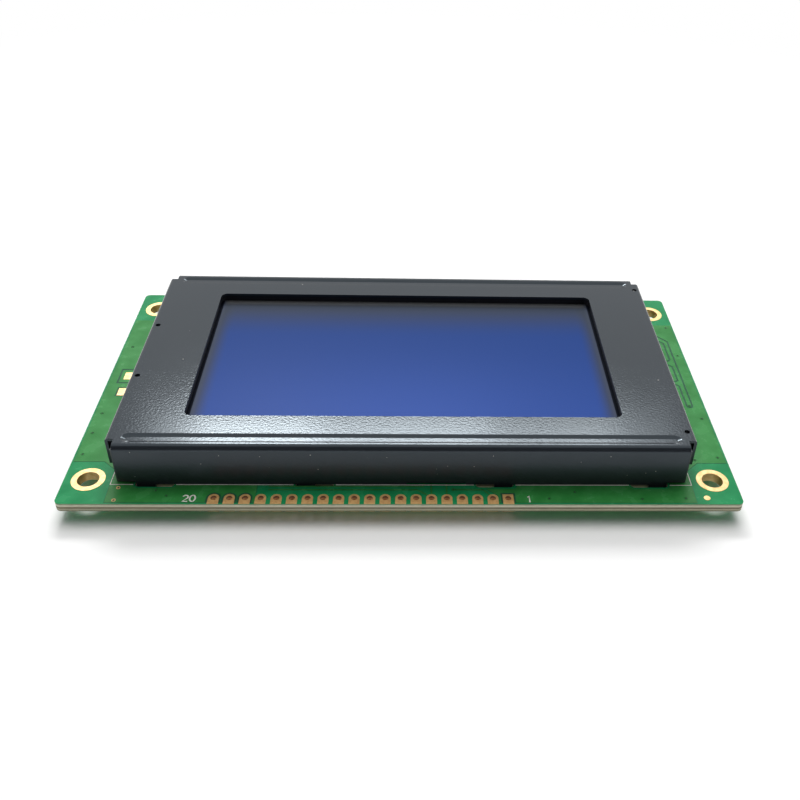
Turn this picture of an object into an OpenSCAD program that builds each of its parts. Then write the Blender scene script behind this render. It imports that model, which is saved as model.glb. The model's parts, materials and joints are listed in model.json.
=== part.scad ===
// Graphic LCD module: a circuit board that carries a display cell and its backlight
// under one folded steel bezel, whose tabs pass through the board and are twisted behind it.
// X runs along the header row, Y away from it, Z up through the glass.
// The origin lies under the board's centre, level with the tips of the tabs.

/* [Circuit board] */
// Width of the board
board_w = 113; // [110:0.5:130]
// Depth of the board
board_d = 65; // [63:0.5:80]
// Thickness of the board
board_t = 1.6; // [1:0.1:2.4]
// Radius of the board's corners
board_corner_r = 1; // [0.2:0.1:2]
// Thickness of the plated copper
copper_t = 0.05; // [0.03:0.01:0.1]

/* [Mounting holes] */
// Diameter of a finished mounting hole
mount_hole_d = 3.6; // [3:0.1:4]
// Width of the copper ring round a mounting hole
mount_ring_w = 0.95; // [0.4:0.05:1.1]
// Distance of a mounting hole from the board's side edge
mount_inset_x = 4; // [3.8:0.1:4.6]
// Distance of a mounting hole from the board's front or back edge
mount_inset_y = 5.8; // [4:0.1:7]

/* [Header row] */
// Number of header pads
header_count = 20; // [2:1:24]
// Distance from pad to pad
header_pitch = 2.54; // [2:0.01:2.54]
// Diameter of a finished header hole
header_hole_d = 1; // [0.7:0.05:1.2]
// Width of a header pad
header_pad_w = 1.8; // [1.5:0.05:1.9]
// Distance of the hole row from the board's front edge
header_inset = 1.4; // [1:0.05:2]
// Sideways shift of the row from the board's centre
header_shift = -7.05; // [-12:0.05:12]

/* [Bezel] */
// Board beyond the bezel at each side
bezel_margin_x = 7.8; // [7:0.1:9]
// Board beyond the bezel at front and back
bezel_margin_y = 4.7; // [4.4:0.1:6]
// Height of the bezel's top above the board
bezel_h = 8; // [7:0.1:12]
// Thickness of the bezel's sheet
sheet_t = 0.5; // [0.3:0.05:0.55]
// Outer radius of the side flanges' folds
fold_r = 0.6; // [0.55:0.05:0.9]
// Outer radius of the long walls' folds
wall_fold_r = 1; // [0.6:0.05:1.2]
// Height of the side flanges
flange_h = 5.2; // [3:0.1:6]
// Corner notch along the width
notch_x = 1.5; // [1:0.1:2]
// Corner notch along the depth
notch_y = 2.1; // [1.1:0.1:3]
// Radius of the long walls' lower corners
wall_corner_r = 0.6; // [0.2:0.05:1]
// Lift of the long walls at their lower corners
wall_lift = 0.9; // [0.2:0.1:2]
// Height of the shallow notch in the foot of the front wall
foot_notch_h = 0.4; // [0.1:0.1:1]
// Length of that notch
foot_notch_l = 10; // [2:0.5:14]
// Place of that notch from the centre
foot_notch_x = 5.2; // [-6:0.1:6]

/* [Window] */
// Width of the bezel's top beside the window
window_border_x = 11.45; // [10:0.05:16]
// Width of the bezel's top before and behind the window
window_border_y = 8; // [6.9:0.05:10]
// Radius of the window's corners
window_r = 1.2; // [0.3:0.1:2]
// Shift of the window towards the back
window_shift = 0.3; // [-0.5:0.1:0.5]

/* [Stiffening grooves] */
// Width of a groove at the top
groove_w = 2.3; // [1.6:0.1:2.4]
// Width of the groove's floor
groove_floor_w = 0.9; // [0.4:0.1:1.2]
// Depth of a groove
groove_depth = 0.3; // [0.1:0.05:0.45]
// Distance of a groove's middle line from the bezel's long edge
groove_inset = 2.45; // [2.4:0.05:2.7]
// Distance of a groove's end from the bezel's side
groove_end_inset = 2.6; // [2.4:0.1:8]

/* [Punched holes] */
// Diameter of the small punched holes
punch_d = 0.95; // [0.5:0.05:1.2]
// Distance of a punched hole from the bezel's side
punch_inset = 1.25; // [1.25:0.05:2]
// Place of the left holes from the middle of the side
punch_left_y = 8.2; // [2:0.1:20]
// Distance of the right holes from the bezel's front or back
punch_right_inset = 4.5; // [3.4:0.1:20]

/* [Tabs and slots] */
// Width of a tab
tab_w = 3; // [2:0.1:4]
// Length of a tab below the board
tab_drop = 2.4; // [2:0.1:4]
// Twist of a tab below the board
tab_twist = 45; // [20:1:60]
// Distance of the inner tabs from the centre
tab_inner_x = 16.5; // [12:0.1:20]
// Distance of the outer tabs from the bezel's side
tab_outer_inset = 5.9; // [5:0.1:12]
// Length of a slot in the board
slot_l = 6.5; // [5:0.1:7]
// Room between a slot's outer end and its tab
slot_end_gap = 0.3; // [0.1:0.05:0.8]
// Room in a slot outside the wall
slot_front_gap = 0.65; // [0.3:0.05:1.2]
// Room in a slot behind the wall
slot_back_gap = 0.3; // [0.1:0.05:0.5]

/* [Display cell] */
// Depth of the display's face below the bezel's top
face_depth = 1.75; // [1:0.05:2.2]
// Thickness of a glass
glass_t = 1.1; // [0.5:0.1:1.1]
// Thickness of a polariser
polariser_t = 0.2; // [0.1:0.05:0.3]
// Thickness of the seal between the glasses
seal_t = 0.1; // [0.05:0.01:0.2]
// Width of the seal
seal_w = 1.5; // [0.8:0.1:2]
// Glass beyond the window at each side
glass_margin_x = 4.25; // [3.5:0.05:5]
// Rear glass beyond the window at front and back
glass_margin_y = 2.4; // [2.2:0.05:3]
// Contact ledge of the front glass beyond the rear glass
ledge_w = 2.8; // [2.6:0.1:2.9]
// Polariser beyond the window
polariser_margin = 1.6; // [1:0.1:2]
// Setback of the gasket behind the window's edge
gasket_setback = 0.25; // [0.1:0.05:0.5]

/* [Contact strips] */
// Thickness of a contact strip
strip_w = 2; // [1.2:0.1:2.2]
// Glass beyond a contact strip's end
strip_end_gap = 2.5; // [0.5:0.1:10]

/* [Backlight] */
// Thickness of the frame's floor
frame_floor_t = 0.6; // [0.4:0.1:1]
// Room between the frame and the bezel's side flanges
frame_side_gap = 0.55; // [0.2:0.05:1]
// Thickness of the frame's inner long walls
frame_wall_t = 1; // [0.6:0.1:1.2]
// Thickness of the diffuser and of the reflector
film_t = 0.2; // [0.1:0.05:0.3]
// Light guide beyond the window at each side
guide_margin = 1.3; // [1:0.1:1.5]
// Thickness of an LED board
led_board_t = 0.8; // [0.6:0.1:0.9]
// Room between an LED board's end and the frame's long wall
led_board_gap = 3.2; // [0.5:0.1:5]
// LED chips on each board
led_count = 4; // [1:1:8]
// Size of an LED chip away from its board
led_depth = 1; // [0.6:0.1:1.1]
// Length of an LED chip along its board
led_l = 3; // [1.5:0.1:3.5]
// Height of an LED chip
led_h = 1.4; // [0.8:0.1:1.6]
// Diameter of a backlight pin
pin_d = 0.6; // [0.4:0.05:0.7]
// Length of a pin below the board
pin_drop = 1.2; // [0.6:0.1:1.6]
// Distance of the pins from the middle of an LED board
pin_y = 12; // [4:0.5:14]

/* [Back of the board] */
// Diameter of an epoxy blob
blob_d = 17; // [12:0.5:20]
// Height of an epoxy blob
blob_h = 1.6; // [1:0.1:1.9]
// Distance of the outer blobs from the line of the backlight pins
blob_inset = 10.05; // [9:0.05:14]
// Place of the blobs behind the centre
blob_y = 7; // [2:0.5:10]
// Place of the row of small parts in front of the centre
parts_row_y = 13; // [12:0.5:16]
// Length of the bias amplifier's body
amplifier_l = 8.7; // [7:0.1:9.5]
// Length of the charge pump's body
pump_l = 4.9; // [4:0.1:5.5]
// Width of a chip's body
chip_w = 3.9; // [3:0.1:4.4]
// Height of a chip's body
chip_h = 1.4; // [1:0.05:1.5]
// Distance from lead to lead on a chip
lead_pitch = 1.27; // [1:0.01:1.27]
// Length of a chip resistor
resistor_l = 2; // [1.6:0.1:2.2]
// Width of a chip resistor
resistor_w = 1.25; // [0.8:0.05:1.4]
// Height of a chip resistor
resistor_h = 0.5; // [0.3:0.05:0.7]
// Height of a chip capacitor
capacitor_h = 0.9; // [0.6:0.05:1.3]
// Length of a moulded capacitor
moulded_l = 3.2; // [2.8:0.1:3.6]
// Width of a moulded capacitor
moulded_w = 1.6; // [1.2:0.1:2]
// Height of a moulded capacitor
moulded_h = 1.6; // [1:0.1:1.9]

/* [Hidden] */
$fn = 64;

// A cut runs this far past the faces that it opens
cut_past = 0.2;
// Slip fit between moulded and cut pieces
slip = 0.1;
// Room round a pin in its hole and in its solder
pin_room = 0.2;
solder_room = 0.02;

// Levels, from the tips of the tabs upwards
board_bottom = tab_drop;
board_top = board_bottom + board_t;
bezel_top = board_top + bezel_h;
plate_bottom = bezel_top - sheet_t;
face_top = bezel_top - face_depth;
front_glass_z = face_top - polariser_t - glass_t;
seal_z = front_glass_z - seal_t;
rear_glass_z = seal_z - glass_t;
rear_polariser_z = rear_glass_z - polariser_t;
diffuser_z = rear_polariser_z - film_t;
frame_floor_z = board_top + frame_floor_t;
guide_z = frame_floor_z + film_t;

// Plan of the bezel
bezel_w = board_w - 2 * bezel_margin_x;
bezel_d = board_d - 2 * bezel_margin_y;
window_w = bezel_w - 2 * window_border_x;
window_d = bezel_d - 2 * window_border_y;
tab_outer_x = bezel_w / 2 - tab_outer_inset;
punch_right_y = bezel_d / 2 - punch_right_inset;
wall_half_l = bezel_w / 2 - notch_x;
flange_half_l = bezel_d / 2 - notch_y;

// Plan of the display cell and the backlight
glass_w = window_w + 2 * glass_margin_x;
rear_glass_d = window_d + 2 * glass_margin_y;
front_glass_d = rear_glass_d + 2 * ledge_w;
polariser_w = window_w + 2 * polariser_margin;
polariser_d = window_d + 2 * polariser_margin;
strip_y = rear_glass_d / 2 + (ledge_w + slip) / 2;
strip_l = glass_w - 2 * strip_end_gap;
guide_w = window_w + 2 * guide_margin;
guide_d = rear_glass_d - 2 * frame_wall_t - 2 * slip;
led_board_x = guide_w / 2 + slip + led_depth + led_board_t / 2;
led_board_l = rear_glass_d - 2 * frame_wall_t - 2 * led_board_gap;
// The frame stands inside the bezel's walls; beside the glass it stays below the grooves and the folds
frame_w = bezel_w - 2 * (sheet_t + frame_side_gap);
frame_d = bezel_d - 2 * (sheet_t + slip);
frame_rim_z = plate_bottom - max(groove_depth, wall_fold_r - sheet_t) - slip;
frame_block_x = led_board_x + led_board_t / 2 + slip;

// Header row and bare pads
pad_ring_r = header_pad_w / 2;
bare_pad = [1.6, 2.2];
bare_pad_pitch = 5.05;
bare_pad_inset = 3.55;
mark_d = 1.1;
mark_inset = [6, 1.5];

// Chips and small parts behind the board
mould_draft = 0.12;
dimple_d = 0.8;
dimple_depth = 0.1;
dimple_inset = 0.9;
chip_lift = 0.1;
lead_t = 0.2;
lead_w = 0.42;
lead_foot = 0.7;
lead_reach = 1.05;
amplifier_x = -6;
pump_x = 12;
moulded_x = 22;
first_resistor_x = -30;
resistor_pitch = 2.6;
capacitor_pitch = 4;
moulded_pitch = 3;
blob_pitch = led_board_x - blob_inset;
resistor_xs = [for (i = [0:5]) first_resistor_x + resistor_pitch * i];
capacitor_spots = [for (x = [-1, 1], y = [-1, 1]) [x * blob_pitch / 2, blob_y + y * capacitor_pitch / 2]];
capacitor_w = resistor_w;
capacitor_l = resistor_l;
cap_l = 0.4;
moulded_spots = [for (y = [-1, 1]) [moulded_x, -parts_row_y + y * moulded_pitch / 2]];
moulded_lead = [0.8, 1.2, 0.5];

// Outline helpers, exact arcs only
module rounded_rect(w, d, r) {
    square([w - 2 * r, d], center = true);
    square([w, d - 2 * r], center = true);
    for (x = [-1, 1], y = [-1, 1])
        translate([x * (w / 2 - r), y * (d / 2 - r)])
            circle(r = r);
}

module rounded_slot(l, w) {
    square([l - w, w], center = true);
    for (x = [-1, 1])
        translate([x * (l - w) / 2, 0])
            circle(d = w);
}

module plate(w, d, t, z) {
    translate([0, window_shift, z])
        linear_extrude(t)
            square([w, d], center = true);
}

// Places that more than one piece shares
module at_mounts() {
    for (x = [-1, 1], y = [-1, 1])
        translate([x * (board_w / 2 - mount_inset_x), y * (board_d / 2 - mount_inset_y)])
            children();
}

function header_x(i) = header_shift + header_pitch * ((header_count - 1) / 2 - i);

module at_header(i) {
    translate([header_x(i), header_inset - board_d / 2])
        children();
}

// Tabs stand in the middle of the wall's sheet; x_side is +1 on the right, y_side +1 at the back
module at_tabs() {
    for (x_side = [-1, 1], y_side = [-1, 1], x = [tab_inner_x, tab_outer_x])
        translate([x_side * x, y_side * (bezel_d / 2 - sheet_t / 2)])
            scale([x_side, y_side])
                children();
}

module at_pins() {
    for (x = [-1, 1], y = [-1, 1])
        translate([x * led_board_x, window_shift + y * pin_y])
            children();
}

// A slot's outer end lies beside its tab, and it runs on towards the board's middle
module tab_slot() {
    slot_w = slot_front_gap + sheet_t + slot_back_gap;
    translate([tab_w / 2 + slot_end_gap - slot_l / 2, (slot_front_gap - slot_back_gap) / 2])
        rounded_slot(slot_l, slot_w);
}

module circuit_board() {
    color("seagreen")
        translate([0, 0, board_bottom])
            linear_extrude(board_t)
                difference() {
                    rounded_rect(board_w, board_d, board_corner_r);
                    at_mounts() circle(d = mount_hole_d + 2 * copper_t);
                    for (i = [0:header_count - 1])
                        at_header(i) circle(d = header_hole_d);
                    at_tabs() tab_slot();
                    at_pins() circle(d = pin_d + 2 * pin_room);
                }
}

// A plated mounting hole: a ring on each face, joined by the barrel
module mounting_lands() {
    color("khaki")
        at_mounts()
            translate([0, 0, board_bottom - copper_t])
                rotate_extrude()
                    translate([mount_hole_d / 2, 0]) {
                        square([copper_t, board_t + 2 * copper_t]);
                        for (z = [0, board_t + copper_t])
                            translate([0, z])
                                square([mount_ring_w, copper_t]);
                    }
}

// A header pad is round at its inner end and cut off by the board's edge; the first one is square
module header_pad(square_end) {
    if (square_end)
        square(header_pad_w, center = true);
    else
        circle(r = pad_ring_r);
    translate([-pad_ring_r, -header_inset])
        square([header_pad_w, header_inset]);
}

// The two pads of one header hole, on the board's back and on its top
module header_land(i) {
    color("peru")
        at_header(i)
            for (z = [board_bottom - copper_t, board_top])
                translate([0, 0, z])
                    linear_extrude(copper_t)
                        difference() {
                            header_pad(i == 0);
                            circle(d = header_hole_d);
                        }
}

module header_lands() {
    for (i = [1:header_count - 1])
        header_land(i);
}

// Two solder pads beside the bezel and the round alignment mark near the front right corner
module bare_pads() {
    color("wheat")
        translate([0, 0, board_top])
            linear_extrude(copper_t) {
                for (y = [-1, 1])
                    translate([bare_pad_inset - board_w / 2, y * bare_pad_pitch / 2])
                        square(bare_pad, center = true);
                translate([board_w / 2 - mark_inset[0], mark_inset[1] - board_d / 2])
                    circle(d = mark_d);
            }
}

// Section of the folded edge, seen along the fold: x outwards from the plate, y up, corner at the origin
module fold_section(leg, r) {
    translate([-r, -r])
        difference() {
            intersection() {
                circle(r = r);
                square(r);
            }
            if (r > sheet_t)
                circle(r = r - sheet_t);
        }
    translate([-sheet_t, -leg])
        square([sheet_t, leg - r]);
}

// Cut at the lower corner of a long wall, in the wall's own plane: the lifted foot and the round corner
module wall_corner_cut(lift_from) {
    translate([lift_from, -bezel_h - cut_past])
        square([wall_half_l - lift_from + cut_past, wall_lift + cut_past]);
    translate([wall_half_l - wall_corner_r, wall_lift - bezel_h])
        difference() {
            square([wall_corner_r + cut_past, wall_corner_r]);
            translate([0, wall_corner_r]) circle(r = wall_corner_r);
        }
}

// A long wall with its fold and its lower corners
module long_wall() {
    difference() {
        translate([-wall_half_l, 0, 0])
            rotate([90, 0, 90])
                linear_extrude(2 * wall_half_l)
                    fold_section(bezel_h, wall_fold_r);
        for (side = [0, 1])
            mirror([side, 0, 0])
                translate([0, cut_past, 0])
                    rotate([90, 0, 0])
                        linear_extrude(sheet_t + 2 * cut_past)
                            wall_corner_cut(tab_outer_x + tab_w / 2);
    }
}

module side_flange() {
    translate([0, flange_half_l, 0])
        rotate([90, 0, 0])
            linear_extrude(2 * flange_half_l)
                fold_section(flange_h, fold_r);
}

// Flat of the bezel's top between the folds, with its window
module plate_outline() {
    difference() {
        union() {
            square([bezel_w - 2 * fold_r, 2 * flange_half_l], center = true);
            square([2 * wall_half_l, bezel_d - 2 * wall_fold_r], center = true);
        }
        translate([0, window_shift])
            rounded_rect(window_w, window_d, window_r);
    }
}

// A pressed groove with sloping sides and round ends, as a solid that hangs below z = 0
module groove_form(extra_w) {
    half_l = bezel_w / 2 - groove_end_inset - groove_w / 2;
    top_w = groove_w + extra_w;
    floor_w = groove_floor_w + extra_w;
    translate([-half_l, 0, 0])
        rotate([90, 0, 90])
            linear_extrude(2 * half_l)
                polygon([
                    [-top_w / 2, 0], [-floor_w / 2, -groove_depth],
                    [floor_w / 2, -groove_depth], [top_w / 2, 0]
                ]);
    for (side = [-1, 1])
        translate([side * half_l, 0, -groove_depth])
            cylinder(d1 = floor_w, d2 = top_w, h = groove_depth);
}

module at_grooves() {
    for (side = [-1, 1])
        translate([0, side * (bezel_d / 2 - groove_inset), 0])
            children();
}

module at_punched_holes() {
    for (spot = [[-1, punch_left_y], [1, punch_right_y]], y = [-1, 1])
        translate([spot[0] * (bezel_w / 2 - punch_inset), y * spot[1], 0])
            children();
}

// One tab: straight through the board, then twisted about its own upright axis
module tab() {
    translate([0, 0, board_bottom])
        linear_extrude(board_t)
            square([tab_w, sheet_t], center = true);
    mirror([0, 0, 1])
        translate([0, 0, -board_bottom])
            linear_extrude(tab_drop, twist = tab_twist, slices = 8, segments = 4)
                square([tab_w, sheet_t], center = true);
}

module bezel() {
    // Sheet of even thickness on both sides of a groove's slope
    slope = atan2(groove_depth, (groove_w - groove_floor_w) / 2);
    bulge_w = 2 * sheet_t * tan(slope / 2);
    color([0.16, 0.16, 0.17]) {
        translate([0, 0, bezel_top])
            difference() {
                union() {
                    translate([0, 0, -sheet_t])
                        linear_extrude(sheet_t)
                            plate_outline();
                    for (turn = [0, 180])
                        rotate(turn) {
                            translate([0, bezel_d / 2, 0]) long_wall();
                            translate([bezel_w / 2, 0, 0]) side_flange();
                        }
                    at_grooves()
                        translate([0, 0, -sheet_t])
                            groove_form(bulge_w);
                }
                at_grooves() groove_form(0);
                at_punched_holes()
                    translate([0, 0, -sheet_t - cut_past])
                        cylinder(d = punch_d, h = sheet_t + 2 * cut_past);
                translate([foot_notch_x - foot_notch_l / 2, -bezel_d / 2 - cut_past, -bezel_h - cut_past])
                    cube([foot_notch_l, sheet_t + 2 * cut_past, foot_notch_h + cut_past]);
            }
        at_tabs() tab();
    }
}

module window_gasket() {
    color([0.07, 0.07, 0.09])
        translate([0, window_shift, face_top])
            linear_extrude(face_depth - sheet_t)
                difference() {
                    square([polariser_w, polariser_d], center = true);
                    rounded_rect(window_w + 2 * gasket_setback, window_d + 2 * gasket_setback, window_r);
                }
}

module front_polariser() {
    color("royalblue") plate(polariser_w, polariser_d, polariser_t, face_top - polariser_t);
}

module front_glass() {
    color("powderblue") plate(glass_w, front_glass_d, glass_t, front_glass_z);
}

module cell_seal() {
    color("ivory")
        translate([0, window_shift, seal_z])
            linear_extrude(seal_t)
                difference() {
                    square([glass_w - seal_w, rear_glass_d - seal_w], center = true);
                    square([glass_w - 3 * seal_w, rear_glass_d - 3 * seal_w], center = true);
                }
}

module rear_glass() {
    color("powderblue") plate(glass_w, rear_glass_d, glass_t, rear_glass_z);
}

module rear_polariser() {
    color("steelblue") plate(guide_w, guide_d, polariser_t, rear_polariser_z);
}

// A rubber strip stands on the board and presses against the front glass's ledge
module contact_strip(side) {
    color("dimgray")
        translate([0, window_shift + side * strip_y, board_top])
            linear_extrude(front_glass_z - board_top)
                square([strip_l, strip_w], center = true);
}

// Moulded tray: a floor, two long walls under the rear glass, a stepped block at each end, and a rim
// round the front glass and the contact strips, just inside the bezel's walls
module backlight_frame() {
    color([0.22, 0.24, 0.25])
        difference() {
            union() {
                translate([0, window_shift, board_top]) {
                    linear_extrude(frame_floor_t)
                        square([frame_w, rear_glass_d], center = true);
                    linear_extrude(rear_glass_z - board_top)
                        difference() {
                            square([frame_w, rear_glass_d], center = true);
                            square([2 * frame_block_x, rear_glass_d - 2 * frame_wall_t], center = true);
                        }
                    linear_extrude(plate_bottom - board_top)
                        difference() {
                            square([frame_w, rear_glass_d], center = true);
                            square([glass_w + 2 * slip, rear_glass_d + 2 * cut_past], center = true);
                        }
                }
                translate([0, 0, board_top])
                    linear_extrude(frame_rim_z - board_top)
                        difference() {
                            square([frame_w, frame_d], center = true);
                            translate([0, window_shift])
                                square([glass_w + 2 * slip, front_glass_d + 2 * slip], center = true);
                        }
            }
            at_pins()
                translate([0, 0, board_top - cut_past])
                    cylinder(d = pin_d + 2 * pin_room, h = frame_floor_t + 2 * cut_past);
        }
}

module diffuser_film() {
    color("white") plate(guide_w, guide_d, film_t, diffuser_z);
}

module light_guide() {
    color("aliceblue") plate(guide_w, guide_d, diffuser_z - guide_z, guide_z);
}

module reflector_film() {
    color("gainsboro") plate(guide_w, guide_d, film_t, frame_floor_z);
}

module led_board(side) {
    color("darkseagreen")
        translate([side * led_board_x, window_shift, frame_floor_z])
            linear_extrude(rear_polariser_z - frame_floor_z)
                square([led_board_t, led_board_l], center = true);
}

module led_chips() {
    led_pitch = led_board_l / led_count;
    middle_z = (guide_z + diffuser_z) / 2;
    color("lightyellow")
        for (side = [-1, 1], i = [0:led_count - 1])
            translate([
                side * (guide_w / 2 + slip + led_depth / 2),
                window_shift + led_pitch * (i - (led_count - 1) / 2),
                middle_z
            ])
                cube([led_depth, led_l, led_h], center = true);
}

// Each LED board stands on two pins that run down through the frame's floor and the board
module backlight_pins() {
    color("silver")
        at_pins()
            translate([0, 0, board_bottom - pin_drop])
                cylinder(d = pin_d, h = frame_floor_z - board_bottom + pin_drop);
}

module pin_solder() {
    pin_r = pin_d / 2 + solder_room;
    foot_r = pin_d / 2 + 3 * pin_room;
    color("lightgray")
        at_pins()
            translate([0, 0, board_bottom])
                rotate_extrude()
                    polygon([[pin_r, 0], [foot_r, 0], [pin_r + pin_room / 2, -2 * pin_drop / 3], [pin_r, -2 * pin_drop / 3]]);
}

// A low dome of epoxy: the cap of a large ball
module driver_blob(place) {
    ball_r = (pow(blob_d / 2, 2) + pow(blob_h, 2)) / (2 * blob_h);
    color([0.1, 0.1, 0.1])
        translate([place * blob_pitch, blob_y, board_bottom - blob_h])
            rotate_extrude()
                intersection() {
                    translate([0, ball_r]) circle(r = ball_r, $fn = 256);
                    square([blob_d, blob_h]);
                }
}

// A moulded block that is widest at its parting line, halfway up
module moulded_block(l, w, h) {
    rings = [[0, mould_draft], [h / 2, 0], [h, mould_draft]];
    corners = [[-1, -1], [1, -1], [1, 1], [-1, 1]];
    sides = [for (ring = [0, 1], i = [0:3]) let (j = (i + 1) % 4, low = 4 * ring, high = low + 4)
        [low + i, high + i, high + j, low + j]];
    polyhedron(
        points = [for (ring = rings, corner = corners)
            [corner[0] * (l / 2 - ring[1]), corner[1] * (w / 2 - ring[1]), ring[0]]],
        faces = concat([[0, 1, 2, 3], [11, 10, 9, 8]], sides)
    );
}

// A chip's moulded body, hung below the board by its leads, with a dimple beside its first lead
module chip_body(x, l) {
    color([0.13, 0.13, 0.13])
        translate([x, -parts_row_y, board_bottom - chip_lift - chip_h])
            difference() {
                moulded_block(l, chip_w, chip_h);
                translate([dimple_inset - l / 2, dimple_inset - chip_w / 2, -cut_past])
                    cylinder(d = dimple_d, h = cut_past + dimple_depth);
            }
}

// Side view of one bent lead: out of the body, up to the board and along it
module lead_section() {
    mid = chip_lift + chip_h / 2;
    knee = lead_reach - lead_foot;
    translate([0, -mid - lead_t / 2]) square([knee, lead_t]);
    translate([knee - lead_t, -mid - lead_t / 2]) square([lead_t, mid + lead_t / 2]);
    translate([knee - lead_t, -lead_t]) square([lead_foot + lead_t, lead_t]);
}

module chip_leads(x, l) {
    per_side = floor((l - lead_w) / lead_pitch) + 1;
    color("silver")
        for (side = [0, 180], i = [0:per_side - 1])
            translate([x, -parts_row_y, board_bottom])
                rotate(side)
                    translate([lead_pitch * (i - (per_side - 1) / 2) - lead_w / 2, chip_w / 2, 0])
                        rotate([90, 0, 90])
                            linear_extrude(lead_w)
                                lead_section();
}

// A chip part lies flat on the board's back, its body between two metal caps
module small_part_body(spot, l, w, h) {
    translate([spot[0], spot[1], board_bottom - h])
        linear_extrude(h)
            square([w, l - 2 * cap_l], center = true);
}

module small_part_caps(spot, l, w, h) {
    for (side = [-1, 1])
        translate([spot[0], spot[1] + side * (l - cap_l) / 2, board_bottom - h])
            linear_extrude(h)
                square([w, cap_l], center = true);
}

module chip_resistors() {
    color([0.15, 0.15, 0.17])
        for (x = resistor_xs)
            small_part_body([x, -parts_row_y], resistor_l, resistor_w, resistor_h);
}

module resistor_caps() {
    color("silver")
        for (x = resistor_xs)
            small_part_caps([x, -parts_row_y], resistor_l, resistor_w, resistor_h);
}

module chip_capacitors() {
    color("tan")
        for (spot = capacitor_spots)
            small_part_body(spot, capacitor_l, capacitor_w, capacitor_h);
}

module capacitor_caps() {
    color("silver")
        for (spot = capacitor_spots)
            small_part_caps(spot, capacitor_l, capacitor_w, capacitor_h);
}

module moulded_capacitors() {
    color("goldenrod")
        for (spot = moulded_spots)
            translate([spot[0], spot[1], board_bottom - moulded_h])
                moulded_block(moulded_l, moulded_w, moulded_h - moulded_lead[2]);
}

// Flat feet under the moulded capacitors
module moulded_capacitor_leads() {
    color("silver")
        for (spot = moulded_spots, side = [-1, 1])
            translate([spot[0] + side * (moulded_l - moulded_lead[0]) / 2, spot[1], board_bottom - moulded_lead[2] / 2])
                cube(moulded_lead, center = true);
}

circuit_board();
mounting_lands();
header_land(0);  // first_header_land
header_lands();
bare_pads();
bezel();
window_gasket();
front_polariser();
front_glass();
cell_seal();
rear_glass();
rear_polariser();
contact_strip(-1);  // contact_strip_front
contact_strip(1);  // contact_strip_back
backlight_frame();
diffuser_film();
light_guide();
reflector_film();
led_board(-1);  // led_board_left
led_board(1);  // led_board_right
led_chips();
backlight_pins();
pin_solder();
driver_blob(-1);  // driver_blob_left
driver_blob(0);  // driver_blob_middle
driver_blob(1);  // driver_blob_right
chip_body(amplifier_x, amplifier_l);  // amplifier_body
chip_leads(amplifier_x, amplifier_l);  // amplifier_leads
chip_body(pump_x, pump_l);  // pump_body
chip_leads(pump_x, pump_l);  // pump_leads
chip_resistors();
resistor_caps();
chip_capacitors();
capacitor_caps();
moulded_capacitors();
moulded_capacitor_leads();
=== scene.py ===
# %% [markdown]
# # A graphic display module, dressed in Blender
# The module is a green circuit board that carries a blue display cell under a black folded bezel.
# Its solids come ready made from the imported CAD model, at their real size and place, so nothing here
# moves or resizes them. This lesson gives every surface its finish and adds what is too thin for the
# solids: copper under the green mask, white print, plated holes and solder.

# %% Load the frame
import json
import math

import bmesh
import bpy
from mathutils import Matrix, Vector
from mathutils.geometry import delaunay_2d_cdt


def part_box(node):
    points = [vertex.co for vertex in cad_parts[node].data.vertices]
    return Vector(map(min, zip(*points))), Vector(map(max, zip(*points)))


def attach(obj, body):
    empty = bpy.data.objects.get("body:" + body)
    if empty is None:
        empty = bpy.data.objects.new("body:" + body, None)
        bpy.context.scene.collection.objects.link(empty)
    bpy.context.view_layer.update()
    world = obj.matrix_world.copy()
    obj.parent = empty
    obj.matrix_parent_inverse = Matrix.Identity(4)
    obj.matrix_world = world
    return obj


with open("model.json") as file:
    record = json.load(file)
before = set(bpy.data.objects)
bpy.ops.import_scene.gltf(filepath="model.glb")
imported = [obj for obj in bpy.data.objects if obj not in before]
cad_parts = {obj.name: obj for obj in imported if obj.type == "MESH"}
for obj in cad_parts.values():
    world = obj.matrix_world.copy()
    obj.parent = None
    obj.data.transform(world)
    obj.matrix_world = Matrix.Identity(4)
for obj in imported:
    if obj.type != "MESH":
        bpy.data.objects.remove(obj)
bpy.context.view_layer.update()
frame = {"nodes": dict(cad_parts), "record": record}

# %% [markdown]
# Every plan drawn below is in millimetres from the middle of the board, because that is how a board
# designer works. The frame gives the board's faces and the place of the header's first hole.

# %% Plan sizes that come from the frame
MM = 0.001
board_low, board_high = (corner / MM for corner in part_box("circuit_board"))
TOP_Z = board_high.z
BACK_Z = board_low.z
mounts = {mount["name"]: mount for mount in frame["record"]["mounts"]}
PITCH = 2.54
HEADER_COUNT = 20
header_first = Vector(mounts["header_hole_1"]["pos_m"]) / MM
header_xs = [header_first.x - PITCH * i for i in range(HEADER_COUNT)]
HEADER_Y = header_first.y
HEADER_R = mounts["header_hole_1"]["dims"]["r_mm"]
print("board top at", round(TOP_Z, 3), "header row from", header_xs[0], "to", round(header_xs[-1], 2))

# %% [markdown]
# ## Small helpers for node trees
# A material is a graph of nodes. Writing each node and link by hand is long, so one helper adds a node,
# sets its properties and fills its inputs, either with a value or with another node's output.


# %% Node helpers
def put(tree, kind, inputs=None, **properties):
    """Add a node, set its properties and fill its inputs with values or other nodes' outputs."""
    made = tree.nodes.new(kind)
    for name, value in properties.items():
        setattr(made, name, value)
    for name, value in (inputs or {}).items():
        if isinstance(value, bpy.types.NodeSocket):
            tree.links.new(value, made.inputs[name])
        else:
            made.inputs[name].default_value = value
    return made


def number(tree, operation, *values):
    """The output of one Math node."""
    return put(tree, "ShaderNodeMath", dict(enumerate(values)), operation=operation).outputs[0]


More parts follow.
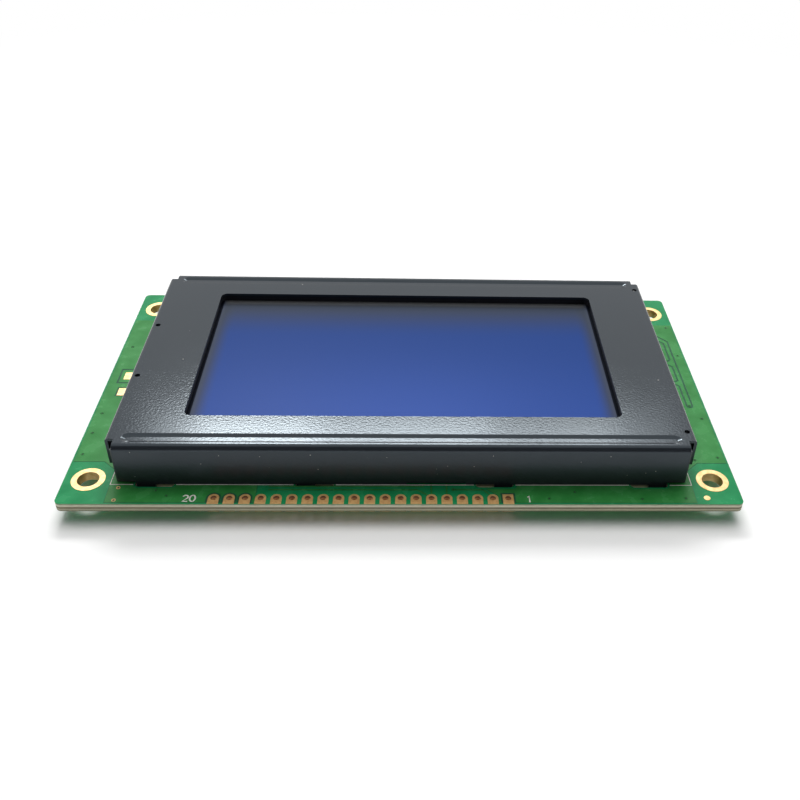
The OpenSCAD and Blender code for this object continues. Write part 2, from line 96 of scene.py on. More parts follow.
def ramp(tree, value, low, high, start=0.0, end=1.0):
    """A smooth step from start to end as the value goes from low to high."""
    return put(
        tree,
        "ShaderNodeMapRange",
        {"Value": value, "From Min": low, "From Max": high, "To Min": start, "To Max": end},
        interpolation_type="SMOOTHSTEP",
    ).outputs["Result"]


def blend(tree, factor, first, second):
    """A colour that goes from the first to the second with the factor."""
    made = put(tree, "ShaderNodeMix", {0: factor, 6: first, 7: second}, data_type="RGBA")
    return made.outputs[2]


def mix(tree, factor, first, second):
    """A number that goes from the first to the second with the factor."""
    made = put(tree, "ShaderNodeMix", {0: factor, 2: first, 3: second}, data_type="FLOAT")
    return made.outputs[0]


def noise(tree, place, scale, detail=2.0):
    """Smooth random values over the surface, from 0 to 1."""
    return put(
        tree, "ShaderNodeTexNoise", {"Vector": place, "Scale": scale, "Detail": detail}
    ).outputs["Fac"]


def object_place(tree):
    """The point on the piece, in metres in the object's own frame."""
    return put(tree, "ShaderNodeTexCoord").outputs["Object"]


def axes_of(tree, vector):
    """The X, Y and Z of a vector."""
    return put(tree, "ShaderNodeSeparateXYZ", {"Vector": vector}).outputs


def flatness(tree, normal):
    """1 on a face that looks straight up or down, 0 on a wall; the normal is one of the Geometry node's."""
    upwards = axes_of(tree, put(tree, "ShaderNodeNewGeometry").outputs[normal])["Z"]
    return number(tree, "ABSOLUTE", upwards)


def rgb(red, green, blue):
    """A linear colour with full alpha."""
    return (red, green, blue, 1.0)


print("node helpers are ready")

# %% [markdown]
# ## Effects that several finishes share
# Lacquer, moulded plastic and poured epoxy all have a fine grain, and everything on a bench gathers a few
# specks of dust. Each such effect is one shader group with named inputs, built once and placed in every
# material that needs it, so a change to the group reaches all of them.


# %% Helpers for shader groups
def shader_group(name, inputs, outputs):
    """A shader group with float or colour inputs and outputs; returns it with its inner ends."""
    tree = bpy.data.node_groups.new(name, "ShaderNodeTree")
    kinds = {"value": "NodeSocketFloat", "colour": "NodeSocketColor"}
    for label, kind, value in inputs:
        tree.interface.new_socket(label, in_out="INPUT", socket_type=kinds[kind]).default_value = value
    for label, kind in outputs:
        tree.interface.new_socket(label, in_out="OUTPUT", socket_type=kinds[kind])
    return tree, tree.nodes.new("NodeGroupInput").outputs, tree.nodes.new("NodeGroupOutput").inputs


def give(tree, output, value):
    """Link a value to one output of a group."""
    tree.links.new(value, output)


print("group helpers are ready")

# %% [markdown]
# The grain is smooth noise at two sizes: a fine one for the relief, and a slow one that clouds the tone.
# Noise on Object coordinates needs no picture and stays the same at every distance.


# %% Grain
def build_grain():
    """Fine bumps of one size, and slow patches of another."""
    tree, given, out = shader_group(
        "surface_grain",
        [("Grain size", "value", 0.0003), ("Patch size", "value", 0.01)],
        [("Height", "value"), ("Patches", "value")],
    )
    place = object_place(tree)
    give(tree, out["Height"], noise(tree, place, number(tree, "DIVIDE", 1.0, given["Grain size"])))
    give(tree, out["Patches"], noise(tree, place, number(tree, "DIVIDE", 1.0, given["Patch size"]), 3.0))
    return tree


GRAIN = build_grain()
print("made", GRAIN.name)

# %% [markdown]
# Dust lies in single specks with clear room between them. A Voronoi pattern has one point in each cell, so a
# small distance from that point draws a speck, and the cell's random colour picks which cells have one.


# %% Dust
def build_dust():
    """Small sparse specks: some cells of a cell pattern get a dot at their middle."""
    tree, given, out = shader_group(
        "dust_specks",
        [("Spacing", "value", 0.004), ("Speck size", "value", 0.02), ("Share", "value", 0.3)],
        [("Mask", "value")],
    )
    cells = put(
        tree,
        "ShaderNodeTexVoronoi",
        {"Vector": object_place(tree), "Scale": number(tree, "DIVIDE", 1.0, given["Spacing"])},
    )
    chosen = number(
        tree,
        "LESS_THAN",
        put(tree, "ShaderNodeSeparateColor", {"Color": cells.outputs["Color"]}).outputs["Red"],
        given["Share"],
    )
    dot = number(tree, "LESS_THAN", cells.outputs["Distance"], given["Speck size"])
    give(tree, out["Mask"], number(tree, "MULTIPLY", chosen, dot))
    return tree


DUST = build_dust()
print("made", DUST.name)

# %% [markdown]
# Plating is never quite even: it has bright patches that are smooth and dull ones that are rougher. One noise
# drives the colour, the roughness and the relief, so that the three agree.


# %% Plating
def build_plating():
    """Plated metal: bright and dull patches with their own roughness."""
    tree, given, out = shader_group(
        "plating_tone",
        [
            ("Bright", "colour", rgb(0.9, 0.8, 0.6)),
            ("Dull", "colour", rgb(0.6, 0.5, 0.3)),
            ("Patch size", "value", 0.0008),
            ("Smooth", "value", 0.25),
            ("Rough", "value", 0.45),
        ],
        [("Color", "colour"), ("Roughness", "value"), ("Height", "value")],
    )
    place = object_place(tree)
    patches = noise(tree, place, number(tree, "DIVIDE", 1.0, given["Patch size"]), 3.0)
    share = ramp(tree, patches, 0.35, 0.65)
    give(tree, out["Color"], blend(tree, share, given["Bright"], given["Dull"]))
    span = number(tree, "SUBTRACT", given["Rough"], given["Smooth"])
    give(tree, out["Roughness"], number(tree, "MULTIPLY_ADD", share, span, given["Smooth"]))
    give(tree, out["Height"], patches)
    return tree


PLATING = build_plating()
print("made", PLATING.name)

# %% [markdown]
# Green mask is a thin coat over woven glass, so the weave shows faintly through it. Two crossed sine waves
# give the weave, which is cheaper than a picture of cloth and can be set to any pitch.


# %% Green mask
def build_green_mask():
    """Green mask over woven glass: a faint weave in the height and cloudy tone in the colour."""
    tree, given, out = shader_group(
        "green_mask",
        [
            ("Thick", "colour", rgb(0.01, 0.2, 0.07)),
            ("Thin", "colour", rgb(0.02, 0.26, 0.09)),
            ("Weave pitch", "value", 0.0005),
        ],
        [("Color", "colour"), ("Roughness", "value"), ("Height", "value")],
    )
    place = object_place(tree)
    clouds = noise(tree, place, 350.0, 4.0)
    give(tree, out["Color"], blend(tree, ramp(tree, clouds, 0.3, 0.7), given["Thick"], given["Thin"]))
    give(tree, out["Roughness"], ramp(tree, clouds, 0.2, 0.8, 0.2, 0.3))
    axes = axes_of(tree, place)
    turn = number(tree, "DIVIDE", 2 * math.pi, given["Weave pitch"])
    warp = number(tree, "SINE", number(tree, "MULTIPLY", axes["X"], turn))
    weft = number(tree, "SINE", number(tree, "MULTIPLY", axes["Y"], turn))
    give(tree, out["Height"], number(tree, "MULTIPLY_ADD", warp, weft, clouds))
    return tree


GREEN_MASK = build_green_mask()
print("shader groups:", [group.name for group in bpy.data.node_groups])

# %% [markdown]
# ## Finishes
# Each material is a Principled shader with its colour, roughness and relief coming from the groups above.
# Plain numbers, such as an index of refraction, are set on the shader itself, because an exporter can read
# them there. The finishes are kept in one dictionary by the slot names of the part's record.


# %% Material helpers
finishes = {}


def new_finish(name, **sockets):
    """A node material with one Principled shader; returns the material, its tree and the shader."""
    material = bpy.data.materials.new(name)
    material.use_nodes = True
    tree = material.node_tree
    shader = tree.nodes["Principled BSDF"]
    for label, value in sockets.items():
        shader.inputs[label.replace("_", " ")].default_value = value
    return material, tree, shader


def place_group(tree, group, **values):
    """Place a shader group in a material, with its own values; returns its outputs."""
    made = put(tree, "ShaderNodeGroup", node_tree=group)
    for label, value in values.items():
        made.inputs[label.replace("_", " ")].default_value = value
    return made.outputs


def feed(tree, shader, **links):
    """Link outputs to the shader's sockets."""
    for label, output in links.items():
        tree.links.new(output, shader.inputs[label.replace("_", " ")])


def relief(tree, shader, height, depth):
    """Bump from a height of 0 to 1 that stands for that depth, in metres."""
    made = put(tree, "ShaderNodeBump", {"Height": height, "Distance": depth, "Strength": 1.0})
    tree.links.new(made.outputs["Normal"], shader.inputs["Normal"])


print("material helpers are ready")

# %% [markdown]
# The bezel is steel sheet under black stoving lacquer. The lacquer has a fine orange-peel skin, so where it
# mirrors the edge of a lamp the reflection breaks up into small sparkles. A fine bump with a grain of 0.4 mm
# gives that. The lacquer is sprayed from above, so the walls are duller than the top, and they show more
# dust.

# %% Bezel lacquer
WALL_FLATNESS = 0.3
LACQUER_RELIEF = 0.000014


def lacquer_finish():
    # The blue specular tint is painted light: it stands for the cool colour of the room that the lacquer
    # mirrors.
    material, tree, shader = new_finish(
        "bezel_lacquer", IOR=1.5, Specular_IOR_Level=0.55, Specular_Tint=rgb(0.74, 0.9, 1.0)
    )
    grain = place_group(tree, GRAIN, Grain_size=0.0004, Patch_size=0.006)
    flat = flatness(tree, "True Normal")
    upright = number(tree, "LESS_THAN", flat, WALL_FLATNESS)
    on_walls = place_group(tree, DUST, Spacing=0.0016, Speck_size=0.05, Share=0.4)["Mask"]
    dust = place_group(tree, DUST, Spacing=0.0032, Speck_size=0.035, Share=0.35)["Mask"]
    dust = number(tree, "MAXIMUM", dust, number(tree, "MULTIPLY", on_walls, upright))
    black = blend(tree, grain["Patches"], rgb(0.0185, 0.0215, 0.0275), rgb(0.021, 0.0245, 0.0305))
    feed(
        tree,
        shader,
        Base_Color=blend(tree, dust, black, rgb(0.4, 0.38, 0.34)),
        Roughness=ramp(tree, flat, 0.2, 0.85, 0.28, 0.1),
    )
    relief(tree, shader, grain["Height"], LACQUER_RELIEF)
    return material


finishes["bezel_lacquer"] = lacquer_finish()
print("made", finishes["bezel_lacquer"].name)

# %% [markdown]
# The display is blue in the middle of the window. Light reaches the cell's back only through the window, so
# the blue fades to grey under the window's far edge and along its sides. That fade is painted shade, worked
# out from the distance to the window's edges and put into the surface's colour. The blue is painted a little
# lighter towards the near edge and the middle, as painted light, and the grey is painted lighter in the first
# millimetre or two from the far edge and the sides, as painted light. A dark band along the two sides is
# painted shadow of the window's recess, and a very faint grid stands for the dots.

# %% Display face
WINDOW_LAP = 1.6 * MM
face_low, face_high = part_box("front_polariser")
FADE_SIDE = 0.0035
FADE_FAR = 0.013
FADE_NEAR = 0.0015
DOT_PITCH = 0.00052
# Widths of the painted light along the far edge and the sides, and of the painted shadow band at the sides.
PAINTED_RIM_FAR = 0.002
PAINTED_RIM_SIDE = 0.0013
SHADOW_BAND = 0.00036
SHADOW_BAND_BLUR = 0.00006


def display_finish():
    material, tree, shader = new_finish("display_face", IOR=1.49, Specular_IOR_Level=0.05, Roughness=0.3)
    place = object_place(tree)
    axes = axes_of(tree, place)
    half_w = (face_high.x - face_low.x) / 2 - WINDOW_LAP
    from_side = number(tree, "SUBTRACT", half_w, number(tree, "ABSOLUTE", axes["X"]))
    from_far = number(tree, "SUBTRACT", face_high.y - WINDOW_LAP, axes["Y"])
    from_near = number(tree, "SUBTRACT", axes["Y"], face_low.y + WINDOW_LAP)
    # Painted shade: the blue fades to grey near the window's edges, where the bezel keeps the light out.
    lit = number(tree, "MULTIPLY", ramp(tree, from_side, 0.0, FADE_SIDE), ramp(tree, from_far, 0.0, FADE_FAR))
    lit = number(tree, "MULTIPLY", lit, ramp(tree, from_near, -FADE_NEAR, FADE_NEAR))
    # Painted light: the blue is lighter towards the near edge and the middle of the window.
    near = ramp(tree, from_near, 0.0, face_high.y - face_low.y, 1.0, 0.0)
    middle = ramp(tree, from_side, 0.0, half_w, 0.6, 1.0)
    glow = number(tree, "MULTIPLY", number(tree, "POWER", near, 2.0), middle)
    blue = blend(tree, glow, rgb(0.01, 0.048, 0.225), rgb(0.021, 0.074, 0.348))
    waves = [
        number(tree, "SINE", number(tree, "MULTIPLY", axes[axis], 2 * math.pi / DOT_PITCH)) for axis in "XY"
    ]
    dots = ramp(tree, number(tree, "MAXIMUM", *waves), 0.6, 1.0, 0.0, 0.04)
    blue = blend(tree, dots, blue, rgb(0.05, 0.08, 0.2))
    # Painted light: the grey is lighter within a millimetre or two of the far edge and the sides.
    grey = blend(tree, ramp(tree, from_far, 0.0, PAINTED_RIM_FAR), rgb(0.14, 0.145, 0.15), rgb(0.04, 0.05, 0.066))
    grey = blend(tree, ramp(tree, from_side, 0.0, PAINTED_RIM_SIDE), rgb(0.07, 0.085, 0.125), grey)
    shown = blend(tree, lit, grey, blue)
    # Painted shadow: a dark band along the two sides, where the window's recess shades the cell.
    shadow_band = ramp(tree, from_side, SHADOW_BAND - SHADOW_BAND_BLUR, SHADOW_BAND + SHADOW_BAND_BLUR)
    feed(tree, shader, Base_Color=blend(tree, shadow_band, rgb(0.006, 0.008, 0.014), shown))
    return material


finishes["display_face"] = display_finish()
print("made", finishes["display_face"].name)

# %% [markdown]
# The board's faces are green mask over glass-fibre laminate, and its routed edges show the laminate itself:
# pale resin at the faces with brown glass layers between. One material serves both, and the face's direction
# decides which of the two shows. Over copper the same mask looks lighter and yellower. In the narrow gaps of
# the copper it runs together, so there it is thick and dark.

# %% Board and copper under mask
FIBRE_SHIFT = 0.16


def laminate_layers(tree, place):
    """Colour of the cut edge: layers that follow the height, broken up by fibre noise."""
    height = axes_of(tree, place)["Z"]
    stretch = put(tree, "ShaderNodeMapping", {"Vector": place, "Scale": (1.0, 1.0, 12.0)}).outputs["Vector"]
    fibres = noise(tree, stretch, 900.0, 3.0)
    shifted = number(tree, "MULTIPLY_ADD", fibres, FIBRE_SHIFT * MM, height)
    above_back = number(tree, "SUBTRACT", shifted, (BACK_Z + FIBRE_SHIFT / 2) * MM)
    share = number(tree, "DIVIDE", above_back, (TOP_Z - BACK_Z) * MM)
    layers = put(tree, "ShaderNodeValToRGB", {"Fac": share})
    stops = [
        (0.0, rgb(0.12, 0.12, 0.075)),
        (0.1, rgb(0.38, 0.365, 0.255)),
        (0.24, rgb(0.56, 0.535, 0.39)),
        (0.36, rgb(0.34, 0.305, 0.21)),
        (0.43, rgb(0.095, 0.08, 0.05)),
        (0.5, rgb(0.32, 0.29, 0.195)),
        (0.62, rgb(0.73, 0.705, 0.545)),
        (0.76, rgb(0.83, 0.81, 0.65)),
        (0.88, rgb(0.36, 0.41, 0.265)),
        (1.0, rgb(0.14, 0.32, 0.17)),
    ]
    band = layers.color_ramp
    band.elements[0].position, band.elements[0].color = stops[0]
    band.elements[1].position, band.elements[1].color = stops[-1]
    for position, colour in stops[1:-1]:
        band.elements.new(position).color = colour
    return blend(tree, ramp(tree, fibres, 0.3, 0.7, 0.0, 0.2), layers.outputs["Color"], rgb(0.16, 0.17, 0.1))


def board_finish():
    material, tree, shader = new_finish("board", IOR=1.5, Specular_IOR_Level=0.16)
    place = object_place(tree)
    mask = place_group(tree, GREEN_MASK, Thick=rgb(0.008, 0.235, 0.078), Thin=rgb(0.016, 0.29, 0.1))
    on_face = ramp(tree, flatness(tree, "Normal"), 0.4, 0.6)
    feed(
        tree,
        shader,
        Base_Color=blend(tree, on_face, laminate_layers(tree, place), mask["Color"]),
        Roughness=mix(tree, on_face, 0.75, mask["Roughness"]),
    )
    relief(tree, shader, mask["Height"], 0.000002)
    return material


def mask_over_copper():
    material, tree, shader = new_finish("mask_over_copper", IOR=1.5, Specular_IOR_Level=0.18)
    mask = place_group(tree, GREEN_MASK, Thick=rgb(0.028, 0.215, 0.044), Thin=rgb(0.044, 0.275, 0.066))
    feed(tree, shader, Base_Color=mask["Color"], Roughness=mask["Roughness"])
    relief(tree, shader, mask["Height"], 0.000003)
    return material


def mask_in_gaps():
    material, tree, shader = new_finish("mask_in_gaps", IOR=1.5, Specular_IOR_Level=0.16, Roughness=0.4)
    mask = place_group(tree, GREEN_MASK, Thick=rgb(0.012, 0.075, 0.036), Thin=rgb(0.018, 0.095, 0.045))
    feed(tree, shader, Base_Color=mask["Color"])
    return material


finishes["board"] = board_finish()
copper_green = mask_over_copper()
gap_green = mask_in_gaps()
print("made", finishes["board"].name, copper_green.name, gap_green.name)

# %% [markdown]
# Bare metal on the board comes in three tones: pale gold on the mounting lands, a browner gold on the header
# pads, and bright tin on leads and solder. They share the plating group, which mixes bright and dull patches.

# %% Plated and tinned metal
PLATING_PATCH = 0.0008
PLATING_RELIEF = 0.000004


def plated_finish(name, bright, dull, smooth, rough, metallic):
    material, tree, shader = new_finish(name, Metallic=metallic)
    tone = place_group(
        tree, PLATING, Bright=bright, Dull=dull, Smooth=smooth, Rough=rough, Patch_size=PLATING_PATCH
    )
    feed(tree, shader, Base_Color=tone["Color"], Roughness=tone["Roughness"])
    relief(tree, shader, tone["Height"], PLATING_RELIEF)
    return material


plated = {
    "land_plating": (rgb(0.8, 0.58, 0.3), rgb(0.72, 0.5, 0.23), 0.35, 0.5, 1.0),
    "header_plating": (rgb(0.72, 0.436, 0.168), rgb(0.59, 0.327, 0.112), 0.35, 0.55, 0.25),
    "tinned_metal": (rgb(0.78, 0.78, 0.76), rgb(0.58, 0.58, 0.57), 0.22, 0.42, 1.0),
}
for slot_name, values in plated.items():
    finishes[slot_name] = plated_finish(slot_name, *values)
print("plated finishes:", list(plated))

# %% [markdown]
# What is left is moulded, cast or cut from sheet: plastic, rubber, epoxy, ceramic, film and glass. One
# function serves them all, with two tones, a roughness span and a grain, because they differ only in those.

# %% Moulded, cast and sheet finishes
PATCHES_PER_GRAIN = 12


def grained_finish(name, light, dark, smooth, rough, grain_size, depth, **sockets):
    material, tree, shader = new_finish(name, **sockets)
    grain = place_group(tree, GRAIN, Grain_size=grain_size, Patch_size=PATCHES_PER_GRAIN * grain_size)
    feed(
        tree,
        shader,
        Base_Color=blend(tree, ramp(tree, grain["Patches"], 0.3, 0.7), light, dark),
        Roughness=ramp(tree, grain["Patches"], 0.25, 0.75, smooth, rough),
    )
    relief(tree, shader, grain["Height"], depth)
    return material


grained = {
    "gasket_foam": (rgb(0.006, 0.007, 0.012), rgb(0.010, 0.011, 0.018), 0.55, 0.75, 0.0002, 0.00001),
    "seal_epoxy": (rgb(0.72, 0.69, 0.58), rgb(0.6, 0.56, 0.45), 0.35, 0.5, 0.0003, 0.000005),
    "rear_film": (rgb(0.26, 0.3, 0.36), rgb(0.22, 0.26, 0.33), 0.12, 0.2, 0.0004, 0.000001),
    "contact_rubber": (rgb(0.10, 0.10, 0.105), rgb(0.06, 0.06, 0.065), 0.6, 0.8, 0.00018, 0.000008),
    "frame_plastic": (rgb(0.07, 0.08, 0.085), rgb(0.055, 0.063, 0.067), 0.4, 0.55, 0.0003, 0.000005),
    "white_film": (rgb(0.84, 0.84, 0.84), rgb(0.78, 0.78, 0.79), 0.45, 0.6, 0.0003, 0.000002),
    "guide_acrylic": (rgb(0.82, 0.87, 0.89), rgb(0.76, 0.82, 0.85), 0.08, 0.15, 0.0006, 0.000001),
    "led_board": (rgb(0.46, 0.50, 0.34), rgb(0.38, 0.42, 0.28), 0.5, 0.65, 0.0003, 0.000005),
    "led_resin": (rgb(0.82, 0.74, 0.34), rgb(0.74, 0.64, 0.25), 0.2, 0.3, 0.0003, 0.000003),
    "blob_epoxy": (rgb(0.012, 0.012, 0.013), rgb(0.020, 0.020, 0.021), 0.22, 0.36, 0.0006, 0.00002),
    "chip_plastic": (rgb(0.024, 0.024, 0.026), rgb(0.036, 0.036, 0.038), 0.5, 0.65, 0.00012, 0.000008),
    "resistor_body": (rgb(0.016, 0.016, 0.02), rgb(0.026, 0.026, 0.03), 0.2, 0.32, 0.0002, 0.000003),
    "capacitor_body": (rgb(0.42, 0.29, 0.16), rgb(0.34, 0.22, 0.12), 0.4, 0.55, 0.00015, 0.000006),
    "moulded_case": (rgb(0.62, 0.36, 0.05), rgb(0.52, 0.28, 0.035), 0.4, 0.55, 0.00015, 0.000006),
}
for slot_name, values in grained.items():
    finishes[slot_name] = grained_finish(slot_name, *values)
finishes["cell_glass"] = grained_finish(
    "cell_glass",
    rgb(0.86, 0.95, 0.96),
    rgb(0.82, 0.92, 0.94),
    0.02,
    0.05,
    0.002,
    0.0000002,
    IOR=1.52,
    Transmission_Weight=1.0,
)
print("finishes:", len(finishes))

# %% [markdown]
# The record names a slot for each CAD node, so the finishes can be handed out in one loop.

# %% Finish the CAD nodes
for entry in frame["record"]["subparts"]:
    node_mesh = frame["nodes"][entry["node"]].data
    node_mesh.materials.clear()
    node_mesh.materials.append(finishes[entry["material_slot"]])

# %% [markdown]
# ## Thin layers on the board
# Copper and print lie on the board as films a few hundredths of a millimetre thick. A film's plan is a set of
# closed outlines. Its top is triangulated between them, and a narrow slope runs from the top to the foot,
# because etched copper has no upright sides and the mask thins out over its edge.


# %% Outlines
def arc(centre, radius, start, end, steps=10):
    """Points along an arc, with angles in degrees."""
    turns = [math.radians(start + (end - start) * i / steps) for i in range(steps + 1)]
    return [(centre[0] + radius * math.cos(t), centre[1] + radius * math.sin(t)) for t in turns]


def box_outline(low, high):
    """A rectangle, anticlockwise."""
    return [(low[0], low[1]), (high[0], low[1]), (high[0], high[1]), (low[0], high[1])]


def circle_outline(centre, radius, steps=48):
    """A circle, anticlockwise."""
    return arc(centre, radius, 0, 360, steps)[:-1]


def slot_outline(centre, length, width):
    """A slot with round ends along X, anticlockwise."""
    reach = (length - width) / 2
    right = arc((centre[0] + reach, centre[1]), width / 2, -90, 90)
    left = arc((centre[0] - reach, centre[1]), width / 2, 90, 270)
    return right + left


def shifted_outline(points, distance, closed=True):
    """Each point moved to the left of the outline's way by the distance, with mitred corners."""
    moved = []
    count = len(points)
    for i, point in enumerate(points):
        before = points[i - 1] if closed or i > 0 else None
        after = points[(i + 1) % count] if closed or i < count - 1 else None
        normals = []
        for start, end in ((before, point), (point, after)):
            if start is not None and end is not None:
                way = (Vector(end) - Vector(start)).normalized()
                normals.append(Vector((-way.y, way.x)))
        corner = sum(normals, Vector((0.0, 0.0))) / len(normals)
        moved.append(tuple(Vector(point) + corner * (distance / corner.length_squared)))
    return moved


def line_outline(points, width):
    """The outline of an open line of that width."""
    left = shifted_outline(points, width / 2, closed=False)
    right = shifted_outline(points, -width / 2, closed=False)
    return right + left[::-1]


def signed_area(points):
    """The area of a closed outline, which is negative when it runs clockwise."""
    pairs = zip(points, points[1:] + points[:1])
    return sum(a[0] * b[1] - b[0] * a[1] for a, b in pairs) / 2


def inside(point, points):
    """Whether a point lies inside a closed outline."""
    x, y = point
    found = False
    for (x0, y0), (x1, y1) in zip(points, points[1:] + points[:1]):
        if (y0 > y) != (y1 > y) and x < x0 + (y - y0) / (y1 - y0) * (x1 - x0):
            found = not found
    return found


print("outline helpers are ready")

# %% [markdown]
# A constrained Delaunay triangulation fills the area between outlines, holes and islands included. The plan
# is filled twice, at the foot and at the top, and a strip of faces along every outline closes the film.

# %% Films
FILL_NEAR = 1e-6
FILM_MERGE = 1e-8


def fill(outlines):
    """Triangles of the area between nested outlines, as points and triples."""
    points, edges = [], []
    for outline in outlines:
        first = len(points)
        points += [Vector(point) for point in outline]
        edges += [(first + i, first + (i + 1) % len(outline)) for i in range(len(outline))]
    made, _, faces, _, _, _ = delaunay_2d_cdt(points, edges, [], 1, FILL_NEAR)
    kept = []
    for face in faces:
        middle = sum((made[i] for i in face), Vector((0.0, 0.0))) / len(face)
        if sum(inside(middle, outline) for outline in outlines) % 2:
            kept.append(face)
    return made, kept


def nested_outwards(outlines):
    """Each outline turned so that the film lies on its left."""
    turned = []
    for outline in outlines:
        depth = sum(inside(outline[0], other) for other in outlines if other is not outline)
        outward = (signed_area(outline) > 0) == (depth % 2 == 0)
        turned.append(outline if outward else outline[::-1])
    return turned


def film_mesh(name, outlines, foot_z, top_z, slope):
    """A thin film between nested outlines; the slopes have the second material."""
    shape = bmesh.new()
    feet = nested_outwards(outlines)
    tops = [shifted_outline(outline, slope) for outline in feet]
    for level, rings in ((foot_z, feet), (top_z, tops)):
        points, faces = fill(rings)
        verts = [shape.verts.new((p.x * MM, p.y * MM, level * MM)) for p in points]
        for face in faces:
            shape.faces.new([verts[i] for i in face])
    for foot, top in zip(feet, tops):
        low = [shape.verts.new((x * MM, y * MM, foot_z * MM)) for x, y in foot]
        high = [shape.verts.new((x * MM, y * MM, top_z * MM)) for x, y in top]
        for i in range(len(foot)):
            j = (i + 1) % len(foot)
            shape.faces.new((low[i], low[j], high[j], high[i])).material_index = 1
    bmesh.ops.remove_doubles(shape, verts=shape.verts, dist=FILM_MERGE)
    bmesh.ops.recalc_face_normals(shape, faces=shape.faces)
    mesh = bpy.data.meshes.new(name)
    shape.to_mesh(mesh)
    shape.free()
    return mesh


def lay(mesh, materials=()):
    """Make a piece of a mesh, with its finish, on the module's one body."""
    for material in materials:
        mesh.materials.append(material)
    piece = bpy.data.objects.new(mesh.name, mesh)
    bpy.context.scene.collection.objects.link(piece)
    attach(piece, "root")
    print(piece.name, len(mesh.polygons), "faces")


print("film helpers are ready")

# %% [markdown]
# The copper on the top fills most of the board. It stops short of the edges, leaves the corners with the
# mounting holes bare, keeps clear of the header pads and slots, and opens to a bare field behind most of the
# header, where only a few tracks run. Narrow gaps divide it beside the bezel. The outline is drawn the way a
# board designer draws it: once round the board, with a notch for each pad.

# %% Outline of the top copper
COPPER_H = 0.035
SINK = 0.01
EDGE_GAP = 0.24
PAD_R = 0.9
CLEARANCE = 0.27
SLOPE = 0.09
edge_x = board_high.x - EDGE_GAP
edge_y = board_high.y - EDGE_GAP
CORNER_BARE = [(48.6, None), (48.8, 24.3), (51.0, 22.3), (None, 22.3)]
FIELD_LEFT = -24.4
FIELD_RIGHT = 15.55
FIELD_FAR = -26.2
FIELD_CUT = [(18.7, FIELD_FAR), (18.7, -28.4), (18.35, -28.75), (13.3, -28.75), (FIELD_RIGHT, -30.7)]


def pad_notch(x, square):
    """The way round one header pad, from left to right, from the copper's front edge."""
    reach = PAD_R + CLEARANCE
    if square:
        top = [(x - reach, HEADER_Y + reach), (x + reach, HEADER_Y + reach)]
    else:
        top = arc((x, HEADER_Y), reach, 180, 0, 12)
    return [(x - reach, -edge_y), *top, (x + reach, -edge_y)]


def bare_corner(side_x, side_y):
    """The copper's edge round one bare corner, from the long edge to the short edge."""
    return [
        (side_x * (edge_x if x is None else x), side_y * (edge_y if y is None else y)) for x, y in CORNER_BARE
    ]


def top_copper_outline():
    front = []
    for i, x in sorted(enumerate(header_xs), key=lambda item: item[1]):
        if x < FIELD_LEFT or x > FIELD_RIGHT:
            front += pad_notch(x, i == 0)
    field = [(FIELD_LEFT, -edge_y), (FIELD_LEFT, FIELD_FAR), *FIELD_CUT, (FIELD_RIGHT, -edge_y)]
    before = [point for point in front if point[0] < FIELD_LEFT]
    after = [point for point in front if point[0] > FIELD_RIGHT]
    return (
        bare_corner(-1, -1)[::-1]
        + before
        + field
        + after
        + bare_corner(1, -1)
        + bare_corner(1, 1)[::-1]
        + bare_corner(-1, 1)
    )


top_outline = top_copper_outline()
print("top copper outline:", len(top_outline), "points")

# %% [markdown]
# Inside that outline the copper has holes of its own: room round the slots, thin lines that part it beside
# the bezel, and frames round the bare pads. Each is one more closed outline for the film.

# %% Gaps in the top copper
SLOT_L, SLOT_W = 6.5, 1.45
SLOT_Y = 27.725
SLOT_XS = (15.05, 41.35)
slot_centres = [(sx * x, sy * SLOT_Y) for sx in (-1, 1) for sy in (-1, 1) for x in SLOT_XS]
in_copper = [c for c in slot_centres if c[1] > 0 or abs(c[0]) > SLOT_XS[0]]
slot_gaps = [slot_outline(c, SLOT_L + 2 * CLEARANCE, SLOT_W + 2 * CLEARANCE) for c in in_copper]
GAP_W = 0.2
FINGER_END = (53.62, -5.8)
FINGER_R = 0.53
finger_path = [
    (52.3, 18.0),
    (FINGER_END[0] + FINGER_R, 15.9),
    *arc(FINGER_END, FINGER_R, 0, -180, 12),
    (FINGER_END[0] - FINGER_R, 0.4),
    (52.2, 1.2),
]
side_paths = [
    finger_path,
    [(52.1, 16.3), (53.2, 15.3), (53.2, 9.4), (52.2, 8.4)],
    [(52.1, 7.9), (53.2, 6.9), (53.2, 2.2), (52.2, 1.7)],
]
side_gaps = [line_outline(path, GAP_W) for path in side_paths]
PAD_A_GAP = ((-54.7, 0.2), (-50.9, 4.7))
PAD_B_GAP = ((-54.0, -3.85), (-51.9, -1.2))
island = shifted_outline(box_outline(*PAD_A_GAP), GAP_W)
pad_gaps = [box_outline(*PAD_A_GAP), island, box_outline(*PAD_B_GAP)]
print("gaps:", len(slot_gaps), "at slots,", len(side_gaps), "at the sides,", len(pad_gaps), "at pads")

# %% [markdown]
# The film of copper is laid first. The mask that runs together in its narrow gaps is a second, lower film
# with the same outlines, so the dark lines follow the copper's edges exactly.

